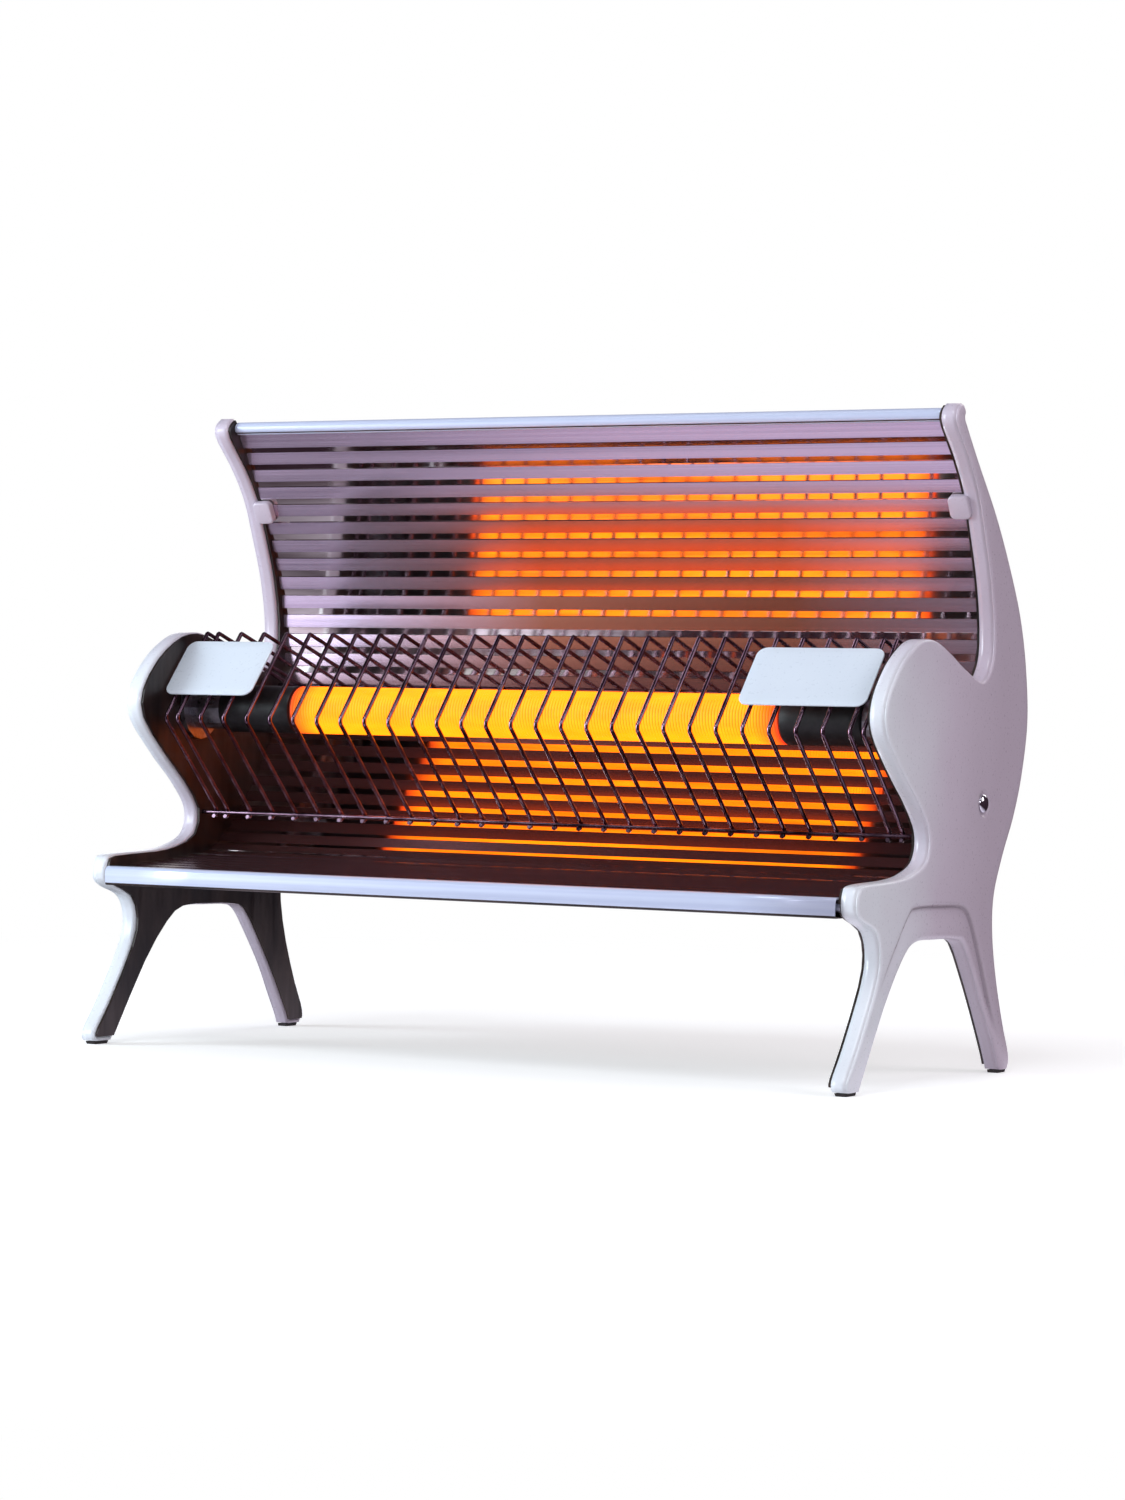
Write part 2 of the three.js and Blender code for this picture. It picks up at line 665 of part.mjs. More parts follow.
function ceramicRod() {
  return tubeAlongX(-rodHalfLength, rodHalfLength, rodRadius, rodBore, rod);
}

function rodCap(side) {
  const [a, b] = [side * capStart, side * capEnd];
  return tubeAlongX(Math.min(a, b), Math.max(a, b), capRadius, rodRadius + seatGap, rod);
}

// A stepped bush: flange on the inner plate, neck to the cap, spigot in the rod's bore
function rodHolder(side) {
  const bore = studRadius + seatGap;
  const plate = halfWidth - seatGap;
  const neckEnd = capEnd + seatGap;
  const spigotEnd = rodHalfLength - 2 * capRadius;
  const profile = [
    [plate, bore], [plate, holderFlangeRadius], [plate - holderFlangeThick, holderFlangeRadius],
    [plate - holderFlangeThick, holderNeckRadius], [neckEnd, holderNeckRadius],
    [neckEnd, rodBore - seatGap], [spigotEnd, rodBore - seatGap], [spigotEnd, bore],
  ].map(([x, radius]) => [side * x, radius]);
  return turned(side > 0 ? profile.reverse() : profile, rod, 16, true);
}

function terminalStud(side) {
  const inner = side * (rodHalfLength - 2 * capRadius);
  const outer = side * (panelInner + studNutThick + seatGap);
  return rodAlongX(Math.min(inner, outer), Math.max(inner, outer), studRadius, rod, 12);
}

// Sits on the outer side of the inner plate, in the hollow of the moulding
function terminalNut(side) {
  const [inner, outer] = [side * panelInner, side * (panelInner + studNutThick)];
  const [x0, x1] = [Math.min(inner, outer), Math.max(inner, outer)];
  return hexNut(x0, x1, studNutWidth, studRadius + seatGap, rod);
}

// Riveted flush into both inner plates
function tieRod(center) {
  const end = halfWidth + plateThick;
  return rodAlongX(-end, end, tieRadius, center);
}

// The cross bar is drilled at both ends for the side screws
function crossBarRod() {
  const end = halfWidth - seatGap;
  let body = solidOf(rodAlongX(-end, end, crossBarRadius, crossBar, 16));
  for (const side of Object.values(pairs)) {
    const [a, b] = [side * (end + overrun), side * (outerFace - screwLength - overrun)];
    const bore = rodAlongX(Math.min(a, b), Math.max(a, b), screwRadius + seatGap, crossBar, 12);
    body = body.subtract(solidOf(bore));
  }
  return body;
}

// Domed head in the dish, shank through panel and plate into the cross bar
function sideScrew(side) {
  const seat = outerFace - screwDishDepth + seatGap;
  const crown = seat + screwHeadHeight;
  const profile = [
    [outerFace - screwLength, 0], [outerFace - screwLength, screwRadius], [seat, screwRadius],
    [seat, screwHeadRadius], [(seat + crown) / 2, screwHeadRadius * screwRimShare],
    [crown - screwHeadHeight / 8, screwHeadRadius / 2], [crown, 0],
  ].map(([x, radius]) => [side * x, radius]);
  return turned(side > 0 ? profile : profile.reverse(), crossBar, 20);
}

function guardProfile(x) {
  const corners = [
    guardFootShares, guardKneeLowShares, guardKneeHighShares, guardRidgeShares, guardHeelShares,
  ].map((shares) => {
    const point = place(shares);
    return new THREE.Vector3(x, point.x, point.y);
  });
  return roundedRun(corners, guardBend, false);
}

// Every wire has the same bends; two straight rails join them and rest in the inner plates
function wireGuard() {
  const places = [];
  for (let i = 0; i < guardWires; i += 1) places.push((i - (guardWires - 1) / 2) * guardPitch);
  const edge = places[places.length - 1] + guardEndStep;
  places.push(edge, -edge);
  const railEnd = halfWidth + plateThick;
  const wires = places.map((x) => solidOf(tubeThrough(guardProfile(x), guardWire, guardSides)));
  const rails = [guardFootShares, guardHeelShares].map((shares) => (
    solidOf(rodAlongX(-railEnd, railEnd, guardWire, place(shares), 6))
  ));
  return wasm.Manifold.union([...wires, ...rails]);
}

// A bare plate on the upper slope of the guard, beside the panel
function labelPlate(name, side) {
  const low = place(guardKneeHighShares);
  const high = place(guardRidgeShares);
  const slope = high.clone().sub(low);
  const angle = Math.atan2(slope.y, slope.x);
  const middle = low.clone().lerp(high, labelShare);
  const outward = new THREE.Vector2(-slope.y, slope.x).normalize();
  const lift = guardWire + seatGap + labelThick / 2;
  const center = middle.addScaledVector(outward, lift);
  const [u, v, r] = [labelLengths[name] / 2, labelHeight / 2, labelCorner];
  const shape = new THREE.Shape();
  shape.moveTo(r - u, -v);
  shape.lineTo(u - r, -v);
  shape.absarc(u - r, r - v, r, -Math.PI / 2, 0);
  shape.lineTo(u, v - r);
  shape.absarc(u - r, v - r, r, 0, Math.PI / 2);
  shape.lineTo(r - u, v);
  shape.absarc(r - u, v - r, r, Math.PI / 2, Math.PI);
  shape.lineTo(-u, r - v);
  shape.absarc(r - u, r - v, r, Math.PI, 1.5 * Math.PI);
  const geometry = new THREE.ExtrudeGeometry(shape, {
    depth: labelThick, bevelEnabled: false, curveSegments: 4,
  });
  geometry.translate(0, 0, -labelThick / 2).rotateX(angle);
  const x = side * (halfWidth - labelSideGaps[name] - labelLengths[name] / 2);
  return geometry.translate(x, center.x, center.y);
}

// The block stands on the right plate, behind the mirror sheet
function terminalBlock() {
  const center = place(blockShares);
  const end = halfWidth - seatGap;
  let body = solidOf(box(end - blockWidth, end, center.x - blockDepth / 2, center.x + blockDepth / 2,
    center.y - blockHeight / 2, center.y + blockHeight / 2));
  for (let i = -1; i <= 1; i += 1) {
    const at = new THREE.Vector2(center.x, center.y + i * blockScrewPitch);
    const x = end - blockWidth;
    body = body.subtract(solidOf(rodAlongX(x - overrun, x + blockScrewRadius, blockScrewRadius, at, 12)));
  }
  return body;
}

// In the hollow of its panel from the stud to the hole, then behind the mirror sheet to the block
function leadRun(side) {
  const nutEdge = studNutWidth / 2 / Math.cos(Math.PI / 6) + seatGap;
  const hollow = panelInner + leadRadius + seatGap;
  const hole = place(leadHoleShares);
  const block = place(blockShares);
  const blockFace = halfWidth - seatGap - blockWidth;
  const front = block.x - blockDepth / 2 - seatGap;
  const start = new THREE.Vector3(side * hollow, rod.x + nutEdge, rod.y);
  const middle = new THREE.Vector3(side * hollow, (rod.x + hole.x) / 2, rod.y);
  const enter = new THREE.Vector3(side * hollow, hole.x - leadAhead, hole.y);
  const behind = hole.x + leadBehind;
  const leave = new THREE.Vector3(side * (halfWidth - leadStandOff), behind, hole.y);
  if (side > 0) {
    const x = halfWidth - seatGap - blockWidth / 2;
    const near = new THREE.Vector3(x, front - leadStandOff, hole.y);
    return [start, middle, enter, leave, near, new THREE.Vector3(x, front, hole.y)];
  }
  const turn = new THREE.Vector3(-blockFace, block.x, hole.y);
  return [start, middle, enter, leave, turn, new THREE.Vector3(blockFace - seatGap, block.x, hole.y)];
}

function lead(side) {
  return tubeThrough(roundedRun(leadRun(side), leadBend), leadRadius, leadSides);
}

function earthLead() {
  const block = place(blockShares);
  const earth = place(earthShares);
  const x = halfWidth - seatGap - earthHeadHeight / 2;
  const top = block.y - blockHeight / 2 - seatGap;
  const low = earth.y + earthHeadRadius + seatGap;
  const inner = x - leadRadius;
  return tubeThrough(roundedRun([
    new THREE.Vector3(inner, block.x, top), new THREE.Vector3(inner, block.x, (2 * top + low) / 3),
    new THREE.Vector3(inner, earth.x, (top + 2 * low) / 3), new THREE.Vector3(inner, earth.x, low),
  ], earthBend), leadRadius, leadSides);
}

function earthScrew() {
  const seat = halfWidth - seatGap;
  const center = place(earthShares);
  return turned([
    [seat - earthHeadHeight, 0], [seat - earthHeadHeight, earthHeadRadius], [seat, earthHeadRadius],
    [seat, screwRadius], [halfWidth + plateThick + earthReach, screwRadius],
    [halfWidth + plateThick + earthReach, 0],
  ], center, 16);
}

for (const [name, side] of Object.entries(pairs)) {
  addMesh(`side_panel_${name}`, sidePanel(side), finishes.shell);
  addMesh(`inner_plate_${name}`, innerPlate(side), finishes.plate);
  addMesh(`foot_pad_front_${name}`, footPad(side, -1), finishes.rubber);
  addMesh(`foot_pad_rear_${name}`, footPad(side, 1), finishes.rubber);
  addMesh(`side_screw_${name}`, sideScrew(side), finishes.chrome);
  addMesh(`rod_cap_${name}`, rodCap(side), finishes.cap);
  addMesh(`rod_holder_${name}`, rodHolder(side), finishes.steel);
  addMesh(`terminal_stud_${name}`, terminalStud(side), finishes.steel);
  addMesh(`terminal_nut_${name}`, terminalNut(side), finishes.steel);
  addMesh(`label_plate_${name}`, labelPlate(name, side), finishes.label);
  addMesh(`supply_lead_${name}`, lead(side), finishes.leadSleeve);
  coverScrewShares.forEach((share, i) => {
    addMesh(`cover_screw_${i ? 'upper' : 'lower'}_${name}`, coverScrew(side, share), finishes.steel);
  });
}
addMesh('mirror_sheet', mirrorSheet(), finishes.mirror);
addMesh('top_bead', topBead(), finishes.chrome);
addMesh('front_lip', frontLip(), finishes.chrome);
addMesh('back_cover', backCover(), finishes.cover);
addMesh('bottom_cover', bottomCover(), finishes.cover);
addMesh('top_tie_rod', tieRod(bead), finishes.steel);
addMesh('front_tie_rod', tieRod(lipTie), finishes.steel);
addMesh('cross_bar', crossBarRod(), finishes.steel);
addMesh('wire_guard', wireGuard(), finishes.guard);
addMesh('ceramic_rod', ceramicRod(), finishes.ceramic);
addMesh('heating_winding', tubeThrough(windingRun(), windingWire, 5), finishes.glow);
addMesh('terminal_block', terminalBlock(), finishes.blockPlastic);
addMesh('earth_lead', earthLead(), finishes.earthSleeve);
addMesh('earth_screw', earthScrew(), finishes.steel);
addMesh('cord_gland', gland(), finishes.rubber);

console.log(`winding: least gap to itself ${leastGap(windingRun(), windingWire).toFixed(2)} mm`);

export default heater;
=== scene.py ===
# A radiant room heater with a wound, glowing rod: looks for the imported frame.
# Sizes are in millimetres until a mesh is made. X runs along the rod; the heater shines to -Y.
import math
import bmesh
import bpy
import numpy as np
from mathutils import Matrix, Vector
from mathutils.geometry import delaunay_2d_cdt


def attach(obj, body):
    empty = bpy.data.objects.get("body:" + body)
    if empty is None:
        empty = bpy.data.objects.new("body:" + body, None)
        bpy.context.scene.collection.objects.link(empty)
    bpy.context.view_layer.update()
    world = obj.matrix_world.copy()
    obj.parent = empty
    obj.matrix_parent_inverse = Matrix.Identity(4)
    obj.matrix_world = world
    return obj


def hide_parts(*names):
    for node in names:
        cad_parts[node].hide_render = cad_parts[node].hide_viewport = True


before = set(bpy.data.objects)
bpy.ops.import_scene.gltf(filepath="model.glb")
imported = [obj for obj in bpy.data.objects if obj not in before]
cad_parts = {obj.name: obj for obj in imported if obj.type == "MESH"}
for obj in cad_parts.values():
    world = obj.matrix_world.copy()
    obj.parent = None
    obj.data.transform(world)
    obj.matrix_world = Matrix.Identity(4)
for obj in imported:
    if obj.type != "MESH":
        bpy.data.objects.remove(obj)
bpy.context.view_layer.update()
mm = 0.001
sides = {"left": -1.0, "right": 1.0}

# Shared places, the same as in the part: shares of the panel's depth and height
body = {"depth": 204.0, "height": 320.0, "halfWidth": 200.0, "outerFace": 210.0,
        "panelInner": 201.5, "gap": 0.3}
sheetEnd = body["halfWidth"] - body["gap"]  # how far sheet, covers and edges reach to both sides
weldWithin, collapseUnder = 1e-7, 1e-8  # metres: points merged, edges taken out
panelFrontShares = [
    (0.547, 1), (0.522, 0.986), (0.529, 0.966), (0.603, 0.92), (0.662, 0.872), (0.706, 0.812),
    (0.75, 0.741), (0.773, 0.672), (0.765, 0.622), (0.711, 0.592), (0.608, 0.608), (0.515, 0.631),
    (0.431, 0.647), (0.363, 0.647), (0.301, 0.633), (0.23, 0.603), (0.169, 0.555), (0.174, 0.509),
    (0.272, 0.451), (0.358, 0.409), (0.42, 0.366), (0.407, 0.327), (0.333, 0.308), (0.24, 0.3),
    (0.069, 0.295), (0.037, 0.284), (0.034, 0.258), (0.064, 0.245), (0.137, 0.228), (0.164, 0.194),
    (0.145, 0.15), (0.059, 0.067), (0.008, 0.026), (0.002, 0.012), (0.015, 0)]
panelArchShares = [
    (0.064, 0), (0.088, 0.022), (0.201, 0.124), (0.294, 0.186), (0.363, 0.209), (0.475, 0.211),
    (0.588, 0.209), (0.642, 0.2), (0.701, 0.159), (0.779, 0.094), (0.853, 0.025), (0.872, 0)]
panelBackShares = [
    (0.917, 0), (0.931, 0.016), (0.922, 0.038), (0.89, 0.075), (0.843, 0.144), (0.814, 0.212),
    (0.816, 0.269), (0.863, 0.328), (0.926, 0.388), (0.972, 0.453), (1, 0.534), (0.984, 0.616),
    (0.944, 0.691), (0.877, 0.762), (0.779, 0.844), (0.657, 0.925), (0.578, 0.98)]
creaseShares = [  # the pressed line down the front leg, over the arch and down the rear leg
    (0.04, 0.06), (0.099, 0.103), (0.159, 0.146), (0.246, 0.204), (0.318, 0.25), (0.36, 0.2595),
    (0.511, 0.2595), (0.62, 0.256), (0.665, 0.24), (0.704, 0.205), (0.751, 0.155), (0.792, 0.109),
    (0.848, 0.05)]
mirrorShares = [
    (0.061, 0.276), (0.176, 0.281), (0.3, 0.287), (0.402, 0.293), (0.468, 0.301), (0.515, 0.316),
    (0.557, 0.336), (0.609, 0.369), (0.658, 0.406), (0.703, 0.444), (0.745, 0.486), (0.778, 0.53),
    (0.796, 0.578), (0.8, 0.626), (0.792, 0.677), (0.773, 0.728), (0.74, 0.785), (0.697, 0.841),
    (0.647, 0.896), (0.59, 0.951), (0.56, 0.973)]


def place(shares):
    # Shares of depth and height to a point (y, z) of the side view
    pairs = np.asarray(shares, float)
    return (pairs - [0.5, 0.0]) * [body["depth"], body["height"]]


rodCentre = place((0.402, 0.528))
crossBar = place((0.728, 0.41))
beadCentre = place((0.556, 0.984))
lipFront = place((0.02, 0.263))


def spline(points, perSpan=6):
    # Uniform Catmull-Rom: each span's cubic has end slopes of half the chord of the neighbours
    p = np.asarray(points, float)
    ext = np.vstack([p[:1], p, p[-1:]])
    spans = len(p) - 1
    p0, p1, p2, p3 = (ext[k:k + spans, None, :] for k in range(4))
    t = (np.arange(perSpan) / perSpan)[None, :, None]
    v0, v1 = (p2 - p0) / 2, (p3 - p1) / 2
    run = ((2 * p1 - 2 * p2 + v0 + v1) * t ** 3 + (3 * p2 - 3 * p1 - 2 * v0 - v1) * t ** 2
           + v0 * t + p1)
    return np.vstack([run.reshape(-1, p.shape[1]), p[-1:]])


def alongRun(run):
    # The length from the run's start to each of its points: the sum of the steps so far
    return np.concatenate([[0], np.cumsum(np.linalg.norm(np.diff(run, axis=0), axis=1))])


def resample(run, spacing=None, count=None):
    # Points at equal steps of length along a run
    along = alongRun(run)
    count = count or max(int(round(along[-1] / spacing)), 1) + 1
    want = np.linspace(0, along[-1], count)
    return np.stack([np.interp(want, along, run[:, k]) for k in range(run.shape[1])], 1)


def stations(run, distances):
    # Points at given lengths along a run, with unit tangents and the normals to their left
    along = alongRun(run)
    slope = np.gradient(run, along, axis=0)
    point = np.stack([np.interp(distances, along, run[:, k]) for k in range(2)], -1)
    tangent = np.stack([np.interp(distances, along, slope[:, k]) for k in range(2)], -1)
    tangent /= np.linalg.norm(tangent, axis=-1, keepdims=True)
    return point, tangent, np.stack([-tangent[..., 1], tangent[..., 0]], -1)


def arc(centre, radius, start, stop, count):
    # Points of a circular arc, angles in degrees from the first axis towards the second
    a = np.radians(np.linspace(start, stop, count))
    return np.stack([centre[0] + radius * np.cos(a), centre[1] + radius * np.sin(a)], 1)


def lengthOf(run):
    # The sum of its steps
    return float(np.linalg.norm(np.diff(run, axis=0), axis=1).sum())


def evenly(count, pitch):
    # Places a pitch apart with 0 in their middle
    return (np.arange(count) - (count - 1) / 2) * pitch


def distanceTo(run, points):
    # Least distance from each point to a run's segments: project, clamp to the segment, measure
    a, b = run[:-1][None], run[1:][None]
    along = b - a
    t = ((points[:, None] - a) * along).sum(-1) / np.maximum((along ** 2).sum(-1), 1e-12)
    nearest = a + np.clip(t, 0, 1)[..., None] * along
    return np.sqrt(((points[:, None] - nearest) ** 2).sum(-1)).min(1)


def inside(loop, points):
    # Even-odd rule: count the edges of the loop that a ray towards +y crosses
    a, b = loop[None], np.roll(loop, -1, 0)[None]
    py, pz = points[:, None, 0], points[:, None, 1]
    spans = (a[..., 1] > pz) != (b[..., 1] > pz)
    rise = np.where(a[..., 1] == b[..., 1], 1e-12, b[..., 1] - a[..., 1])
    cross = a[..., 0] + (pz - a[..., 1]) / rise * (b[..., 0] - a[..., 0])
    return ((spans & (py < cross)).sum(1) % 2) == 1


def gridFaces(rows, columns, wrapRows=False, wrapColumns=False, first=0):
    # Quads of a grid of points: (i, j), (i+1, j), (i+1, j+1), (i, j+1)
    i, j = np.meshgrid(np.arange(rows if wrapRows else rows - 1),
                       np.arange(columns if wrapColumns else columns - 1), indexing="ij")
    k, m = (i + 1) % rows, (j + 1) % columns
    quads = np.stack([i * columns + j, k * columns + j, k * columns + m, i * columns + m], -1)
    return quads.reshape(-1, 4) + first


def smoothStep(x):
    # 3 t^2 - 2 t^3, with t = x held between 0 and 1
    t = np.clip(x, 0, 1)
    return t * t * (3 - 2 * t)


def makePiece(name, points, faces, materials, slot, stands=(), sharpAngle=38, faceSlots=None,
              wall=0.0, facing=None):
    # Points in mm become a mesh at the origin: doubles merged, faces turned outwards, a wall last.
    # An open sheet is turned until the sum of its area normals agrees with the way it faces.
    mesh = bpy.data.meshes.new(name)
    faceList = [list(map(int, f)) for f in faces]
    mesh.from_pydata((np.asarray(points).reshape(-1, 3) * mm).tolist(), [], faceList)
    for material in materials:
        mesh.materials.append(material)
    if faceSlots is not None:
        mesh.polygons.foreach_set("material_index", np.asarray(faceSlots, np.int32))
    work = bmesh.new()
    work.from_mesh(mesh)
    bmesh.ops.remove_doubles(work, verts=work.verts, dist=weldWithin)
    bmesh.ops.dissolve_degenerate(work, edges=work.edges, dist=collapseUnder)
    bmesh.ops.recalc_face_normals(work, faces=work.faces)
    if facing is not None and sum(f.calc_area() * f.normal.dot(facing) for f in work.faces) < 0:
        bmesh.ops.reverse_faces(work, faces=work.faces)
    work.to_mesh(mesh)
    work.free()
    mesh.polygons.foreach_set("use_smooth", np.ones(len(mesh.polygons), bool))
    mesh.set_sharp_from_angle(angle=math.radians(sharpAngle))
    piece = bpy.data.objects.new(name, mesh)
    bpy.context.scene.collection.objects.link(piece)
    if wall:
        thick = piece.modifiers.new("wall", "SOLIDIFY")
        thick.thickness = wall * mm
        thick.offset = -1.0
        thick.use_even_offset = True
    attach(piece, "root")
    if stands:
        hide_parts(*stands)
    return piece


def gridPiece(name, grid, materials, slot, stands=(), wrapRows=False, **more):
    # A piece whose faces are the quads of a grid that closes across its columns
    faces = gridFaces(*grid.shape[:2], wrapRows, True)
    return makePiece(name, grid, faces, materials, slot, stands, **more)


def gridOf(x, y, z):
    # Points of a surface from its coordinates, each a number or an array over rows and columns
    return np.stack(np.broadcast_arrays(x, y, z), -1)


def carryAlongX(profile, xs):
    # A side-view profile (y, z) repeated at each x
    return gridOf(xs[:, None], *profile.T)


def latheAboutX(profile, centre, count=40):
    # Each (x, radius) turned about the line through centre: y, z = centre + radius (sin a, cos a)
    x, radius = np.asarray(profile, float).T[..., None]
    angle = np.arange(count) * 2 * np.pi / count
    return gridOf(x, centre[0] + radius * np.sin(angle), centre[1] + radius * np.cos(angle))


def rgb(red, green, blue):
    # Screen colour, 0 to 255, to the linear colour of a shader socket
    c = np.array([red, green, blue]) / 255
    linear = np.where(c <= 0.04045, c / 12.92, ((c + 0.055) / 1.055) ** 2.4)
    return (*linear.tolist(), 1.0)


def addNode(tree, kind, inputs=None, **settings):
    # One shader node: settings are its properties, inputs are numbers or the sockets that feed it
    made = tree.nodes.new("ShaderNode" + kind)
    for key, value in settings.items():
        setattr(made, key, value)
    for key, value in (inputs or {}).items():
        if isinstance(value, bpy.types.NodeSocket):
            tree.links.new(value, made.inputs[key])
        else:
            made.inputs[key].default_value = value
    return made


def startMaterial(name, roughness, metallic=0.0, coat=0.0, specular=0.5):
    # A new Principled material, with its node tree and its shader
    material = bpy.data.materials.new(name)
    material.use_nodes = True
    tree = material.node_tree
    shader = tree.nodes["Principled BSDF"]
    shader.inputs["Roughness"].default_value = roughness
    shader.inputs["Metallic"].default_value = metallic
    shader.inputs["Coat Weight"].default_value = coat
    shader.inputs["Specular IOR Level"].default_value = specular
    return material, tree, shader


def objectNoise(tree, stretch, scale, detail, rough=0.55):
    # Noise on Object coordinates, stretched along each axis by its factor
    coords = addNode(tree, "TexCoord")
    mapping = addNode(tree, "Mapping", {
        "Vector": coords.outputs["Object"], "Scale": stretch})
    return addNode(tree, "TexNoise", {
        "Vector": mapping.outputs["Vector"], "Scale": scale, "Detail": detail,
        "Roughness": rough}).outputs["Fac"]


def partsOf(tree, coordinates):
    # X, Y and Z of one kind of texture coordinates
    coords = addNode(tree, "TexCoord")
    return addNode(tree, "SeparateXYZ", {"Vector": coords.outputs[coordinates]}).outputs


def computed(tree, operation, *values):
    # One operation over its numbers or sockets
    return addNode(tree, "Math", dict(enumerate(values)), operation=operation).outputs[0]


def mixed(tree, factor, first, second):
    # Colour (1 - factor) first + factor second
    return addNode(tree, "Mix", {"Factor": factor, "A": first, "B": second},
                   data_type="RGBA").outputs["Result"]


def ramp(tree, factor, tones):
    # Screen colours at their places along the factor, straight lines between
    made = addNode(tree, "ValToRGB", {"Fac": factor})
    band, tones = made.color_ramp, list(tones)
    while len(band.elements) < len(tones):
        band.elements.new(0.5)
    for element, (where, colour) in zip(band.elements, tones):
        element.position = where
        element.color = rgb(*colour)
    return made.outputs["Color"]


def spread(tree, factor, low, high, fromLow=0.3, fromHigh=0.7):
    # A straight line from low to high as the factor goes from fromLow to fromHigh, held outside
    return addNode(tree, "MapRange", {
        "Value": factor, "From Min": fromLow, "From Max": fromHigh, "To Min": low,
        "To Max": high}).outputs["Result"]


def spreadMm(tree, factor, low, high, ends):
    # The same line along an Object coordinate, its ends in mm
    return spread(tree, factor, low, high, *(end * mm for end in ends))


def bumpFrom(tree, shader, height, strength, distance):
    # Tilts the shading normal by strength times the slope of a height of distance metres
    made = addNode(tree, "Bump", {
        "Height": height, "Strength": strength, "Distance": distance})
    tree.links.new(made.outputs["Normal"], shader.inputs["Normal"])


def speckled(name, roughness, noise, tones, metallic=0.0, coat=0.0, fine=None, gloss=None,
             relief=None):
    # Tones along a noise; the fine noise, else the same one, moves the roughness and the relief
    material, tree, shader = startMaterial(name, roughness, metallic, coat)
    coarse = objectNoise(tree, *noise)
    tree.links.new(ramp(tree, coarse, tones), shader.inputs["Base Color"])
    grain = objectNoise(tree, *fine) if fine else coarse
    if gloss:
        tree.links.new(spread(tree, grain, *gloss), shader.inputs["Roughness"])
    if relief:
        bumpFrom(tree, shader, grain, *relief)
    return material


# Materials
even = (1, 1, 1)
speckledFinishes = {  # noise and fine: stretch, scale, detail; relief: strength, distance in metres
    "polishedGroove": {  # the pressed grooves stay bright, with a little dirt in them
        "roughness": 0.07, "metallic": 1.0, "noise": ((0.3, 3, 3), 30.0, 5.0),
        "gloss": (0.12, 0.04), "tones": ((0.3, (176, 160, 160)), (0.6, (236, 230, 228)))},
    "sheetBack": {  # the unpolished back of the mirror sheet: grey mill finish in soft flakes
        "roughness": 0.42, "metallic": 0.4, "noise": ((1, 6, 6), 60.0, 4.0), "gloss": (0.36, 0.5),
        "tones": ((0.35, (134, 132, 139)), (0.65, (158, 156, 162)))},
    "polishedTrim": {  # bright anodised strip: faint hair lines along X
        "roughness": 0.24, "metallic": 0.1, "noise": ((0.05, 14, 14), 40.0, 3.0),
        "gloss": (0.2, 0.28), "tones": ((0.3, (198, 206, 236)), (0.65, (212, 219, 244)))},
    "chromeDome": {  # polished plating with a little haze
        "roughness": 0.08, "metallic": 1.0, "noise": (even, 220.0, 4.0), "gloss": (0.14, 0.05),
        "tones": ((0.3, (206, 204, 212)), (0.6, (238, 240, 246)))},
    "darkWire": {  # plated wire, its colour darkened to plum as a painted reflection of the dim room
        "roughness": 0.18, "metallic": 1.0, "noise": (even, 60.0, 4.0), "gloss": (0.12, 0.28),
        "tones": ((0.35, (96, 72, 88)), (0.7, (156, 130, 148)))},
    "blackCeramic": {
        "roughness": 0.5, "noise": (even, 240.0, 5.0), "relief": (0.15, 0.0003),
        "tones": ((0.35, (14, 14, 16)), (0.7, (34, 32, 34)))},
    "plainCeramic": {
        "roughness": 0.75, "noise": (even, 160.0, 5.0), "relief": (0.2, 0.0003),
        "tones": ((0.3, (206, 196, 180)), (0.7, (228, 220, 206)))},
    "barePlate": {  # smooth lacquered plate: one tone in faint clouds, a fine skin
        "roughness": 0.3, "coat": 0.3, "noise": (even, 16.0, 3.0), "fine": (even, 600.0, 2.0),
        "gloss": (0.26, 0.36), "relief": (0.04, 0.0002),
        "tones": ((0.3, (220, 228, 240)), (0.7, (226, 234, 244)))},
    "coverSteel": {  # painted sheet with a fine leather grain and rubbed patches
        "roughness": 0.5, "metallic": 0.3, "noise": (even, 14.0, 6.0), "fine": (even, 420.0, 3.0),
        "gloss": (0.42, 0.6), "relief": (0.2, 0.0003),
        "tones": ((0.35, (38, 35, 35)), (0.7, (62, 58, 58)))},
    "zincSteel": {
        "roughness": 0.32, "metallic": 1.0, "noise": (even, 180.0, 4.0), "gloss": (0.24, 0.42),
        "tones": ((0.35, (150, 150, 156)), (0.65, (198, 199, 204)))},
    "softRubber": {
        "roughness": 0.8, "noise": (even, 350.0, 4.0), "relief": (0.25, 0.0004),
        "tones": ((0.35, (28, 24, 23)), (0.7, (46, 40, 38)))},
    "blockPlastic": {
        "roughness": 0.5, "noise": (even, 90.0, 4.0),
        "tones": ((0.3, (220, 212, 190)), (0.7, (234, 228, 210)))},
}
speckles = {name: speckled(name, **look) for name, look in speckledFinishes.items()}

shellFinish = {
    "roughness": 0.3, "coat": 0.25, "clouds": (even, 9.0, 3.0), "grain": (even, 700.0, 2.0),
    "relief": (0.05, 0.0002),
    # Painted light and shade: cool white where the front is lit, mauve to the back where the face
    # is in shade
    "tones": ((0.1, (236, 239, 246)), (0.5, (214, 202, 217)), (0.9, (198, 184, 199))),
    "litToShadedDepths": (-80, 80),  # mm along Y, from the front tone to the back one
    "drift": 0.12, "creaseShade": (160, 146, 158), "gloss": (0.26, 0.36)}
enamelFinish = {
    "roughness": 0.4, "metallic": 0.2, "clouds": ((1, 2.4, 0.8), 20.0, 3.0),
    "tones": ((0.35, (20, 12, 10)), (0.75, (74, 60, 55))), "streaks": ((1, 30, 2), 12.0, 3.0),
    "gloss": (0.28, 0.5), "grain": (even, 500.0, 3.0), "relief": (0.08, 0.0003)}


